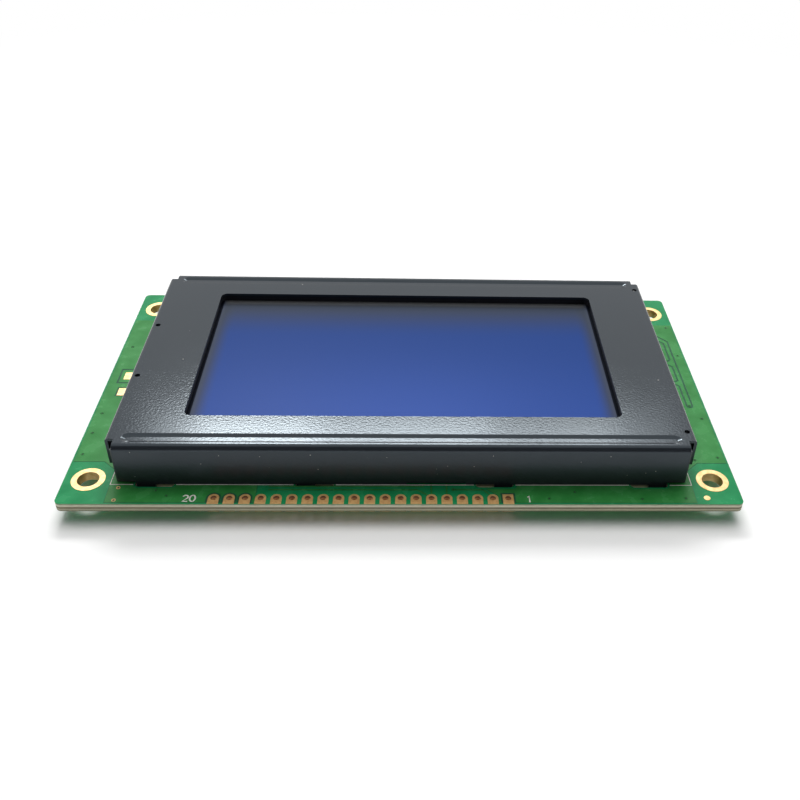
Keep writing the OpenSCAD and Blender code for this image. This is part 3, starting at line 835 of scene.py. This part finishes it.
# %% Copper and mask on the top
POOL_H = 0.006
PAD_LAP = 0.1
top_copper = film_mesh(
    "copper_top",
    [top_outline, *slot_gaps, *side_gaps, *pad_gaps],
    TOP_Z - SINK,
    TOP_Z + COPPER_H,
    SLOPE,
)
lay(top_copper, (copper_green, gap_green))
in_pour = [(i, x) for i, x in enumerate(header_xs) if not FIELD_LEFT < x < FIELD_RIGHT]
notches = [pad_notch(x, i == 0) for i, x in in_pour]
under_pads = [circle_outline((x, HEADER_Y), PAD_R - PAD_LAP, 24) for _, x in in_pour]
pool_outlines = [*notches, *under_pads, *side_gaps, *pad_gaps]
pools = film_mesh("mask_pools", pool_outlines, TOP_Z - SINK, TOP_Z + POOL_H, POOL_H)
lay(pools, (gap_green, gap_green))

# %% [markdown]
# ## Tracks and print with Geometry Nodes
# Tracks and printed lines are the same thing to a maker: a path, swept with a low flat section. One Geometry
# Nodes tree does that for both. It takes bare edges, turns them into curves, rounds their corners, sweeps a
# trapezoid along them and sets the material. The result is kept as a plain mesh.


# %% Geometry Nodes helpers
def geometry_tree(name, inputs):
    """An empty Geometry Nodes tree with named inputs; returns it with its inner ends."""
    tree = bpy.data.node_groups.new(name, "GeometryNodeTree")
    tree.interface.new_socket("Geometry", in_out="INPUT", socket_type="NodeSocketGeometry")
    for label, kind in inputs:
        tree.interface.new_socket(label, in_out="INPUT", socket_type=kind)
    tree.interface.new_socket("Geometry", in_out="OUTPUT", socket_type="NodeSocketGeometry")
    return tree, tree.nodes.new("NodeGroupInput").outputs, tree.nodes.new("NodeGroupOutput").inputs


def end_tree(tree, shape, material, out):
    """The common end of every tree: real geometry, with its material."""
    real = put(tree, "GeometryNodeRealizeInstances", {"Geometry": shape}).outputs["Geometry"]
    done = put(tree, "GeometryNodeSetMaterial", {"Geometry": real, "Material": material})
    tree.links.new(done.outputs["Geometry"], out["Geometry"])


def grow(name, seed, tree, values):
    """Run a tree on a seed mesh and return what it makes as a plain mesh."""
    holder = bpy.data.objects.new(name, seed)
    bpy.context.scene.collection.objects.link(holder)
    modifier = holder.modifiers.new("grow", "NODES")
    modifier.node_group = tree
    for item in tree.interface.items_tree:
        if item.in_out == "INPUT" and item.name in values:
            modifier[item.identifier] = values[item.name]
    graph = bpy.context.evaluated_depsgraph_get()
    mesh = bpy.data.meshes.new_from_object(holder.evaluated_get(graph), depsgraph=graph)
    holder.modifiers.remove(modifier)
    bpy.data.objects.remove(holder)
    mesh.name = name
    return mesh


def seed_of(name, points, edges=()):
    """A mesh of points and edges, from millimetres."""
    mesh = bpy.data.meshes.new(name + "_seed")
    mesh.from_pydata([tuple(c * MM for c in point) for point in points], list(edges), [])
    return mesh


def seed_paths(name, paths, z):
    """A mesh of open paths at one height."""
    points, edges = [], []
    for path in paths:
        first = len(points)
        points += [(x, y, z) for x, y in path]
        edges += [(first + i, first + i + 1) for i in range(len(path) - 1)]
    return seed_of(name, points, edges)


def flat_section(tree, foot, top, height):
    """A low trapezoid to sweep along a curve, with its widths at the foot and at the top."""
    return put(
        tree,
        "GeometryNodeCurvePrimitiveQuadrilateral",
        {"Bottom Width": foot, "Top Width": top, "Height": height, "Offset": 0.0},
        mode="TRAPEZOID",
    ).outputs["Curve"]


print("Geometry Nodes helpers are ready")

# %% [markdown]
# The swept line is a tree with its width, height, corner radius and material as inputs, so tracks and print
# differ only in the values that are set on the modifier. Its section is a trapezoid, because etched and
# printed lines are wider at the foot than at the top.


# %% The swept line
def build_swept_line():
    tree, given, out = geometry_tree(
        "swept_line",
        [
            ("Width", "NodeSocketFloat"),
            ("Height", "NodeSocketFloat"),
            ("Corner radius", "NodeSocketFloat"),
            ("Material", "NodeSocketMaterial"),
        ],
    )
    curve = put(tree, "GeometryNodeMeshToCurve", {"Mesh": given["Geometry"]}).outputs["Curve"]
    rounded = put(
        tree,
        "GeometryNodeFilletCurve",
        {"Curve": curve, "Radius": given["Corner radius"], "Count": 4, "Limit Radius": True},
        mode="POLY",
    ).outputs["Curve"]
    upright = put(tree, "GeometryNodeSetCurveNormal", {"Curve": rounded}, mode="Z_UP").outputs["Curve"]
    narrow = number(tree, "SUBTRACT", given["Width"], given["Height"])
    section = flat_section(tree, given["Width"], narrow, given["Height"])
    swept = put(
        tree, "GeometryNodeCurveToMesh", {"Curve": upright, "Profile Curve": section, "Fill Caps": True}
    ).outputs["Mesh"]
    end_tree(tree, swept, given["Material"], out)
    return tree


SWEPT_LINE = build_swept_line()


def sweep(name, paths, z, width, height, material, corner=0.0):
    """Lay one piece of swept lines along plan paths."""
    values = {"Width": width * MM, "Height": height * MM, "Corner radius": corner * MM, "Material": material}
    lay(grow(name, seed_paths(name, paths, z), SWEPT_LINE, values))


print("made", SWEPT_LINE.name)

# %% [markdown]
# On the top, two tracks run straight back from the header and three run along the bare field behind it. They
# are copper under mask like the large areas, so they have the same finish and height.

# %% Tracks on the top
TRACK_W = 0.3
TRACK_CORNER = 0.25
track_z = TOP_Z + COPPER_H / 2 - SINK / 2
pad_top = HEADER_Y + PAD_R - PAD_LAP
tracks = [
    [(header_xs[5], pad_top), (header_xs[5], FIELD_FAR)],
    [(header_xs[4], pad_top), (header_xs[4], FIELD_FAR)],
    [(8.05, -29.07), (13.1, -29.07), (header_xs[1] - 0.4, pad_top - PAD_LAP)],
    [(-22.6, -29.1), (1.95, -29.1), (header_xs[5] - 0.6, HEADER_Y + 0.7)],
    [(-22.6, -28.3), (3.0, -28.3), (3.45, FIELD_FAR)],
]
sweep("tracks_top", tracks, track_z, TRACK_W, COPPER_H + SINK, copper_green, TRACK_CORNER)

# %% [markdown]
# White ink marks where the bezel stands and which header pad is the first and the last. The outline runs
# round the bezel's foot and stops at the slots. The ink is matt and a little uneven, with a very low relief.

# %% Ink and the bezel's outline
INK_H = 0.02
INK_W = 0.2
INK_SINK = 0.004
INK_RELIEF = 0.000006
PRINT_X = 48.62
PRINT_Y = 27.93
PRINT_BREAK = 0.25


def ink_finish():
    material, tree, shader = new_finish("white_ink", IOR=1.45)
    grain = place_group(tree, GRAIN, Grain_size=0.00012, Patch_size=0.0006)
    feed(
        tree,
        shader,
        Base_Color=blend(tree, grain["Patches"], rgb(1.0, 0.98, 0.9), rgb(0.95, 0.93, 0.85)),
        Roughness=ramp(tree, grain["Patches"], 0.2, 0.8, 0.45, 0.65),
    )
    relief(tree, shader, grain["Height"], INK_RELIEF)
    return material


white_ink = ink_finish()
ink_z = TOP_Z + COPPER_H + INK_H / 2 - INK_SINK


def bezel_print():
    """The bezel's outline in print, with a break at each slot."""
    half = SLOT_L / 2 + PRINT_BREAK
    breaks = sorted((c[0] - half, c[0] + half) for c in slot_centres if c[1] < 0)
    ends = [-PRINT_X, *[x for pair in breaks for x in pair], PRINT_X]
    dashes = list(zip(ends[::2], ends[1::2]))
    paths = []
    for side in (-1, 1):
        for start, end in dashes[1:-1]:
            paths.append([(start, side * PRINT_Y), (end, side * PRINT_Y)])
        for start, end in (dashes[0], dashes[-1][::-1]):
            paths.append([(start, 0.0), (start, side * PRINT_Y), (end, side * PRINT_Y)])
    return paths


sweep("bezel_print", bezel_print(), ink_z, INK_W, INK_H, white_ink)

# %% [markdown]
# The numbers at the ends of the header are single strokes, as a pen plotter would draw them. A path for the
# swept line is enough, and no font has to be loaded.

# %% Pad numbers
DIGIT_SIZE = 0.88
DIGIT_STROKE = 0.28
NOUGHT_MIDDLE = 0.82
NOUGHT_STRETCH = 1.64
TWENTY_FOOT = -31.95
ONE_FOOT = -32.05
two = [*arc((0.5, 1.17), 0.47, 165, -40, 10), (0.02, 0.02), (1.0, 0.02)]
nought = arc((0.5, NOUGHT_MIDDLE), 0.5, 90, 450, 20)
nought = [(x, NOUGHT_MIDDLE + (y - NOUGHT_MIDDLE) * NOUGHT_STRETCH) for x, y in nought]
one = [(0.12, 1.3), (0.45, 1.62), (0.45, 0.0)]


def digit(strokes, left, foot):
    """The path of one digit, at its place on the board."""
    return [(left + x * DIGIT_SIZE, foot + y * DIGIT_SIZE) for x, y in strokes]


digits = [
    digit(two, -36.15, TWENTY_FOOT),
    digit(nought, -35.0, TWENTY_FOOT),
    digit(one, 20.2, ONE_FOOT),
]
sweep("pad_numbers", digits, ink_z, DIGIT_STROKE, INK_H, white_ink)

# %% [markdown]
# ## Plated holes
# Small vias join the copper on both faces. Most are covered with mask, so that only a dark dimple in a faint
# ring shows, and a few are bare with a gold ring. Each kind is a field of rings on points: one tree makes the
# ring, puts it on every point and sets the material.

# %% Rings on points
RING_TOP = 0.8


def build_ring_field():
    tree, given, out = geometry_tree(
        "ring_field",
        [
            ("Outer radius", "NodeSocketFloat"),
            ("Inner radius", "NodeSocketFloat"),
            ("Height", "NodeSocketFloat"),
            ("Sides", "NodeSocketInt"),
            ("Material", "NodeSocketMaterial"),
        ],
    )
    width = number(tree, "SUBTRACT", given["Outer radius"], given["Inner radius"])
    both = number(tree, "ADD", given["Outer radius"], given["Inner radius"])
    middle = number(tree, "MULTIPLY", both, 0.5)
    circle = put(
        tree, "GeometryNodeCurvePrimitiveCircle", {"Resolution": given["Sides"], "Radius": middle}
    ).outputs["Curve"]
    section = flat_section(tree, width, number(tree, "MULTIPLY", width, RING_TOP), given["Height"])
    ring = put(tree, "GeometryNodeCurveToMesh", {"Curve": circle, "Profile Curve": section}).outputs["Mesh"]
    field = put(
        tree, "GeometryNodeInstanceOnPoints", {"Points": given["Geometry"], "Instance": ring}
    ).outputs["Instances"]
    end_tree(tree, field, given["Material"], out)
    return tree


RING_FIELD = build_ring_field()


def ring_field(name, spots, z, outer, inner, height, material, sides=20):
    """Lay one piece of rings at plan spots."""
    values = {
        "Outer radius": outer * MM,
        "Inner radius": inner * MM,
        "Height": height * MM,
        "Sides": sides,
        "Material": material,
    }
    seed = seed_of(name, [(x, y, z) for x, y in spots])
    lay(grow(name, seed, RING_FIELD, values))


print("made", RING_FIELD.name)

# %% [markdown]
# A real via is a hole, but at this size only its dark middle shows. So each via is a ring with a second,
# almost closed ring in it whose dark finish is painted shade standing for the hole, and the board is spared
# dozens of tiny holes.


# %% Vias on the top
def pit_finish():
    # The dark colour is painted shade that stands in for the inside of a hole.
    material, tree, shader = new_finish("painted_pit_shade", IOR=1.4)
    grain = place_group(tree, GRAIN, Grain_size=0.0001, Patch_size=0.001)
    feed(
        tree,
        shader,
        Base_Color=blend(tree, grain["Patches"], rgb(0.006, 0.02, 0.012), rgb(0.012, 0.04, 0.022)),
        Roughness=ramp(tree, grain["Patches"], 0.3, 0.7, 0.4, 0.6),
    )
    return material


painted_pit_shade = pit_finish()
VIA_R, VIA_HOLE_R = 0.33, 0.15
BARE_VIA_R, BARE_VIA_HOLE_R, BARE_PIT_R = 0.36, 0.19, 0.2
VIA_H, BARE_VIA_H, PIT_H = 0.02, 0.05, 0.016
PIT_MIDDLE = 0.001
gold = finishes["land_plating"]
covered_vias = [
    (55.0, -20.7),
    (50.75, -21.4),
    (46.9, -31.1),
    (39.5, -31.3),
    (55.06, 21.3),
    (55.2, 10.9),
    (55.0, -9.7),
    (53.62, -5.8),
    (8.05, -29.07),
    (-54.9, -9.0),
    (-55.1, -14.6),
    (-54.6, 12.4),
    (-55.2, -20.3),
    (28.4, -29.6),
    (-40.9, -29.3),
    (23.9, -31.2),
    (-38.9, -30.6),
]
bare_vias = [(-47.06, -28.74), (-47.09, -31.67)]
ring_z = TOP_Z + COPPER_H
ring_field("via_rings_top", covered_vias, ring_z, VIA_R, VIA_HOLE_R, VIA_H, copper_green)
ring_field("via_pits_top", covered_vias, ring_z, VIA_HOLE_R, PIT_MIDDLE, PIT_H, painted_pit_shade, 12)
ring_field(
    "bare_vias_top", bare_vias, ring_z, BARE_VIA_R, BARE_VIA_HOLE_R, BARE_VIA_H, gold
)
ring_field("bare_via_pits_top", bare_vias, ring_z, BARE_PIT_R, PIT_MIDDLE, PIT_H, painted_pit_shade, 12)

# %% [markdown]
# The header holes are plated through. The plating is a thin tube in each hole, which the same tree makes: a
# ring that is as tall as the board is thick. Painted shade makes it dark brown at the rim; it is brighter
# further down.

# %% Plating in the header holes
# Depth of the painted shade at the top of the barrel.
SHADED_RIM_DEPTH = 0.32
BARREL_T = 0.04
BARREL_GAP = 0.002
BARREL_PAST = 0.045


def barrel_finish():
    material, tree, shader = new_finish("barrel_plating", Metallic=0.3)
    tone = place_group(tree, PLATING, Bright=rgb(0.9, 0.56, 0.3), Dull=rgb(0.66, 0.38, 0.19), Smooth=0.3)
    height = axes_of(tree, object_place(tree))["Z"]
    # Painted shade: the top of the barrel is dark brown, where the hole's rim keeps the light out.
    rim_shade = ramp(tree, height, (TOP_Z - 1.4 * SHADED_RIM_DEPTH) * MM, (TOP_Z - 0.6 * SHADED_RIM_DEPTH) * MM)
    feed(
        tree,
        shader,
        Base_Color=blend(tree, rim_shade, tone["Color"], rgb(0.2, 0.09, 0.04)),
        Roughness=tone["Roughness"],
    )
    return material


ring_field(
    "header_barrels",
    [(x, HEADER_Y) for x in header_xs],
    (TOP_Z + BACK_Z) / 2,
    HEADER_R - BARREL_GAP,
    HEADER_R - BARREL_T,
    TOP_Z - BACK_Z + 2 * BARREL_PAST,
    barrel_finish(),
    24,
)

# %% [markdown]
# ## The back of the board
# The back carries the driver chips and the small parts. The photograph does not show it, so its copper is
# laid out the way such a board usually is: a pour round the edge, an open field behind the header and under
# the small parts, and a clear ring round each driver chip for the tracks that fan out from it.

# %% Copper on the back
BLOB_SPOTS = [(-30.0, 7.0), (0.0, 7.0), (30.0, 7.0)]
RING_R = 9.95
PIN_SPOTS = [(x, 0.3 + y) for x in (-40.05, 40.05) for y in (-12.0, 12.0)]
PIN_CLEAR_R = 1.3
MOULDED_XS = (-15.0, 15.0)
MOULDED_CLEAR_X = 1.2
MOULDED_CLEAR_Y = (3.3, 10.7)
BACK_FIELD = [
    (-33.2, -edge_y),
    (-33.2, -9.2),
    (-32.2, -8.2),
    (25.0, -8.2),
    (26.0, -9.2),
    (26.0, -17.5),
    (19.6, -21.0),
    (19.6, -edge_y),
]
back_outline = (
    bare_corner(-1, -1)[::-1] + BACK_FIELD + bare_corner(1, -1) + bare_corner(1, 1)[::-1] + bare_corner(-1, 1)
)
moulded_gaps = [
    box_outline((x - MOULDED_CLEAR_X, MOULDED_CLEAR_Y[0]), (x + MOULDED_CLEAR_X, MOULDED_CLEAR_Y[1]))
    for x in MOULDED_XS
]
back_copper = film_mesh(
    "copper_back",
    [
        back_outline,
        *slot_gaps,
        *[circle_outline(spot, RING_R) for spot in BLOB_SPOTS],
        *[circle_outline(spot, PIN_CLEAR_R, 24) for spot in PIN_SPOTS],
        *moulded_gaps,
    ],
    BACK_Z + SINK,
    BACK_Z - COPPER_H,
    SLOPE,
)
lay(back_copper, (copper_green, gap_green))

# %% [markdown]
# Each lead and each end cap stands in a fillet of solder. The places are read from the CAD model, so the
# solder follows the parts: the loose solids of a node are found by walking along its edges, and a low
# bevelled block is set at the foot of each.

# %% Solder under the leads
SOLID_MERGE = 1e-6
FILLET_W, FILLET_H = 0.22, 0.16
FILLET_RIM = 0.04


def solids_of(node):
    """Plan boxes of a node's separate solids, in millimetres."""
    shape = bmesh.new()
    shape.from_mesh(frame["nodes"][node].data)
    bmesh.ops.remove_doubles(shape, verts=shape.verts, dist=SOLID_MERGE)
    left = set(shape.verts)
    boxes = []
    while left:
        found = [left.pop()]
        for vert in found:
            for edge in vert.link_edges:
                other = edge.other_vert(vert)
                if other in left:
                    left.remove(other)
                    found.append(other)
        xs = [vert.co.x / MM for vert in found]
        ys = [vert.co.y / MM for vert in found]
        boxes.append(((min(xs), min(ys)), (max(xs), max(ys))))
    shape.free()
    return sorted(boxes)


END_NODES = ("amplifier_leads", "pump_leads", "resistor_caps")
feet = {node: solids_of(node) for node in (*END_NODES, "capacitor_caps", "moulded_capacitor_leads")}
fillets = [
    box_outline((low[0] - FILLET_W, low[1] - FILLET_W), (high[0] + FILLET_W, high[1] + FILLET_W))
    for boxes in feet.values()
    for low, high in boxes
]
solder = film_mesh("solder_back", fillets, BACK_Z + SINK, BACK_Z - FILLET_H, FILLET_W - FILLET_RIM)
lay(solder, (finishes["tinned_metal"], finishes["tinned_metal"]))

# %% [markdown]
# Tracks fan out from under each driver chip, leave the leads and the resistors' end caps, and run from the
# header pads into the field. They all end in a via, at two or three staggered distances so that the rings
# have room.

# %% Tracks and vias on the back
BACK_TRACK_W = 0.25
BACK_TRACK_CORNER = 0.2
BACK_VIA_R, BACK_VIA_HOLE_R = 0.3, 0.14
FAN = 36
FAN_START = 8.0
FAN_ENDS = (9.0, 9.5)
ROW_Y = -13.0
LEAD_RUNS = (0.85, 1.4)
HEADER_RUN_Y = -20.4
HEADER_RUN_STEP = 1.1
HEADER_JOG = 0.6
JOG_FROM, JOG_TO = 1.5, 0.9
back_tracks, back_vias = [], []
for spot in BLOB_SPOTS:
    for i in range(FAN):
        way = Vector((math.cos(2 * math.pi * i / FAN), math.sin(2 * math.pi * i / FAN)))
        end = tuple(Vector(spot) + way * FAN_ENDS[i % 2])
        back_tracks.append([tuple(Vector(spot) + way * FAN_START), end])
        back_vias.append(end)
for boxes in (feet[node] for node in END_NODES):
    for i, (low, high) in enumerate(boxes):
        x = (low[0] + high[0]) / 2
        outward = -1 if low[1] < ROW_Y else 1
        start = low[1] if outward < 0 else high[1]
        end = (x, start + outward * LEAD_RUNS[i // 2 % 2])
        back_tracks.append([(x, start), end])
        back_vias.append(end)
for i, x in enumerate(header_xs):
    end = (x + HEADER_JOG, HEADER_RUN_Y - HEADER_RUN_STEP * (i % 3))
    back_tracks.append([(x, pad_top), (x, end[1] - JOG_FROM), (end[0], end[1] - JOG_TO), end])
    back_vias.append(end)
back_vias += covered_vias
track_z = BACK_Z - COPPER_H / 2 + SINK / 2
sweep(
    "tracks_back",
    back_tracks,
    track_z,
    BACK_TRACK_W,
    COPPER_H + SINK,
    copper_green,
    BACK_TRACK_CORNER,
)
ring_z = BACK_Z - COPPER_H
ring_field("via_rings_back", back_vias, ring_z, BACK_VIA_R, BACK_VIA_HOLE_R, VIA_H, copper_green, 14)
ring_field("via_pits_back", back_vias, ring_z, BACK_VIA_HOLE_R, PIT_MIDDLE, PIT_H, painted_pit_shade, 10)
ring_field(
    "bare_vias_back", bare_vias, ring_z, BARE_VIA_R, BARE_VIA_HOLE_R, BARE_VIA_H, gold
)

# %% [markdown]
# The print on the back shows where the epoxy may flow round each driver chip, and frames the small parts.

# %% Print on the back
PRINT_ROOM = 0.45
BLOB_PRINT_ROOM = 0.3
BACK_INK_W = 0.16


def round_path(points):
    """A closed outline as a path that comes back to its first point."""
    return [*points, points[0]]


def frame_round(node):
    """A printed frame round a whole node."""
    low, high = (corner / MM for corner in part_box(node))
    return box_outline(
        (low.x - PRINT_ROOM, low.y - PRINT_ROOM), (high.x + PRINT_ROOM, high.y + PRINT_ROOM)
    )


framed = ("amplifier_leads", "pump_leads", "resistor_caps", "moulded_capacitor_leads")
back_print = [round_path(circle_outline(spot, RING_R + BLOB_PRINT_ROOM, 64)) for spot in BLOB_SPOTS]
back_print += [round_path(frame_round(node)) for node in framed]
ink_z = BACK_Z - COPPER_H - INK_H / 2 + INK_SINK
sweep("print_back", back_print, ink_z, BACK_INK_W, INK_H, white_ink)

# %% [markdown]
# ## The stage
# The photograph shows the module on a white sweep in a bright room. The floor is a large plane that is white
# to the camera and keeps the shadow. Far from the module it turns to the white of the surroundings, so no
# horizon shows from the side. It can be seen through from below and gives the underside a little light, so
# that the module's back can be looked at.

# %% Floor
FLOOR_HALF = 4.0
FLOOR_TONE = 0.85
UNDERSIDE_LIGHT = 0.2
HAZE_FROM, HAZE_TO = 0.11, 0.28
WHITE = rgb(1, 1, 1)
floor_corners = box_outline((-FLOOR_HALF, -FLOOR_HALF), (FLOOR_HALF, FLOOR_HALF))
floor_mesh = bpy.data.meshes.new("floor")
floor_mesh.from_pydata([(x, y, 0) for x, y in floor_corners], [], [(0, 1, 2, 3)])
floor = bpy.data.objects.new("floor", floor_mesh)
bpy.context.scene.collection.objects.link(floor)


def seen_rays(tree):
    """The Light Path's outputs, and 1 for a ray that the camera sees straight, mirrored or through glass."""
    rays = put(tree, "ShaderNodeLightPath").outputs
    seen = number(tree, "MAXIMUM", rays["Is Camera Ray"], rays["Is Glossy Ray"])
    return rays, number(tree, "MAXIMUM", seen, rays["Is Transmission Ray"])


def floor_finish():
    material = bpy.data.materials.new("white_sweep")
    material.use_nodes = True
    tree = material.node_tree
    tree.nodes.clear()
    rays, seen = seen_rays(tree)
    tone = blend(tree, seen, rgb(FLOOR_TONE, FLOOR_TONE, FLOOR_TONE), WHITE)
    paper = put(tree, "ShaderNodeBsdfDiffuse", {"Color": tone}).outputs["BSDF"]
    lift = number(tree, "MULTIPLY", rays["Is Diffuse Ray"], UNDERSIDE_LIGHT)
    glow = put(tree, "ShaderNodeEmission", {"Color": WHITE, "Strength": lift}).outputs["Emission"]
    paper = put(tree, "ShaderNodeAddShader", {0: paper, 1: glow}).outputs["Shader"]
    away = put(tree, "ShaderNodeVectorMath", {0: object_place(tree)}, operation="LENGTH").outputs["Value"]
    far = number(tree, "MULTIPLY", ramp(tree, away, HAZE_FROM, HAZE_TO), seen)
    haze = put(tree, "ShaderNodeEmission", {"Color": WHITE}).outputs["Emission"]
    sweep_white = put(tree, "ShaderNodeMixShader", {0: far, 1: paper, 2: haze}).outputs["Shader"]
    below = put(tree, "ShaderNodeNewGeometry").outputs["Backfacing"]
    clear = put(tree, "ShaderNodeBsdfTransparent").outputs["BSDF"]
    mixed = put(tree, "ShaderNodeMixShader", {0: below, 1: sweep_white, 2: clear}).outputs["Shader"]
    put(tree, "ShaderNodeOutputMaterial", {"Surface": mixed})
    return material


floor_mesh.materials.append(floor_finish())
print("floor is", 2 * FLOOR_HALF, "m wide")

# %% [markdown]
# The room gives most of its soft light from above and a little behind, so the shadow is dark only under the
# board. To the camera and in reflections the room is white, and only the side over the camera is dark in
# reflections, which draws the bezel's folds.

# %% Surroundings
ROOM_LOW, ROOM_HIGH = 0.12, 4.4
BRIGHT_WAY = (0.0, 0.375, 0.927)
BRIGHT_FOCUS = 10.0
DARK_WAY = (0.0, -0.94, 0.34)
DARK_FROM, DARK_TO = 0.4, 0.65
DARK_LIGHT = 0.1


def along(tree, way, direction):
    """1 where a way points in the direction, 0 across it and -1 against it."""
    return put(tree, "ShaderNodeVectorMath", {0: way, 1: direction}, operation="DOT_PRODUCT").outputs["Value"]


world = bpy.data.worlds.new("bright_room")
bpy.context.scene.world = world
world.use_nodes = True
room = world.node_tree
room.nodes.clear()
rays, seen = seen_rays(room)
way = put(room, "ShaderNodeTexCoord").outputs["Generated"]
mirrored = ramp(room, along(room, way, DARK_WAY), DARK_FROM, DARK_TO, 1.0, DARK_LIGHT)
overhead = number(room, "MAXIMUM", along(room, way, BRIGHT_WAY), 0.0)
soft = mix(room, number(room, "POWER", overhead, BRIGHT_FOCUS), ROOM_LOW, ROOM_HIGH)
shown = mix(room, rays["Is Glossy Ray"], 1.0, mirrored)
sky = put(room, "ShaderNodeBackground", {"Color": WHITE, "Strength": mix(room, seen, soft, shown)})
put(room, "ShaderNodeOutputWorld", {"Surface": sky.outputs["Background"]})
print("made", world.name)

# %% [markdown]
# Five soft lamps hang behind the module in one bank, high enough that the lacquer mirrors the bank's lower
# edge just in front of the window. That draws the bright band along the bezel's front and leaves the front
# wall dark. The second lamp is the strongest, so the band fades to the right, and the weak lamps at the ends
# soften the band's ends, as in the photograph.

# %% Lamps
LAMP_DISTANCE = 0.7
LAMP_HEIGHT = math.radians(46.2)
LAMP_DEPTH = 0.14


def soft_lamp(name, left, right, radiance):
    """A soft box of the bank, from left to right, which looks at the module."""
    way = Vector((0.0, math.cos(LAMP_HEIGHT), math.sin(LAMP_HEIGHT)))
    data = bpy.data.lights.new(name, "AREA")
    data.shape = "RECTANGLE"
    data.size, data.size_y = right - left, LAMP_DEPTH
    data.energy = radiance * math.pi * data.size * LAMP_DEPTH
    lamp = bpy.data.objects.new(name, data)
    lamp.location = way * LAMP_DISTANCE + Vector(((left + right) / 2, 0.0, 0.0))
    lamp.rotation_euler = way.to_track_quat("Z", "Y").to_euler()
    bpy.context.scene.collection.objects.link(lamp)
    print(name, "at", [round(c, 3) for c in lamp.location])


bank = [
    ("left_end_lamp", -0.24, -0.2, 5.5),
    ("left_lamp", -0.2, -0.086, 18.5),
    ("middle_lamp", -0.086, 0.075, 12.6),
    ("right_lamp", 0.075, 0.2, 7.4),
    ("right_end_lamp", 0.2, 0.25, 2.8),
]
for values in bank:
    soft_lamp(*values)

# %% [markdown]
# The camera was fitted to the photograph: a dozen corners and holes of known place give its position, its
# angles, its focal length and the small shift of the picture's centre.

# %% Camera
PICTURE = 800
FOCAL_PX = 916.4
CENTRE_PX = (452.3, 397.6)
PITCH_DOWN, YAW, ROLL = (math.radians(a) for a in (37.208, 3.338, -2.369))
EYE = (0.69, -141.34, TOP_Z + 104.72)
SENSOR = 36.0
right = Vector((math.cos(YAW), -math.sin(YAW), 0.0))
up = Vector(
    (math.sin(YAW) * math.sin(PITCH_DOWN), math.cos(YAW) * math.sin(PITCH_DOWN), math.cos(PITCH_DOWN))
)
camera_x = right * math.cos(ROLL) - up * math.sin(ROLL)
camera_y = right * math.sin(ROLL) + up * math.cos(ROLL)
camera_z = camera_x.cross(camera_y)
camera_data = bpy.data.cameras.new("camera")
camera_data.sensor_width = SENSOR
camera_data.lens = FOCAL_PX / PICTURE * SENSOR
camera_data.shift_x = (PICTURE / 2 - CENTRE_PX[0]) / PICTURE
camera_data.shift_y = (CENTRE_PX[1] - PICTURE / 2) / PICTURE
camera_data.clip_start = 0.001
camera = bpy.data.objects.new("camera", camera_data)
bpy.context.scene.collection.objects.link(camera)
camera.matrix_world = Matrix.Translation(Vector(EYE) * MM) @ Matrix(
    (camera_x, camera_y, camera_z)
).transposed().to_4x4()
bpy.context.scene.camera = camera
bpy.context.scene.view_settings.view_transform = "Standard"
print("camera lens", round(camera_data.lens, 2), "mm")
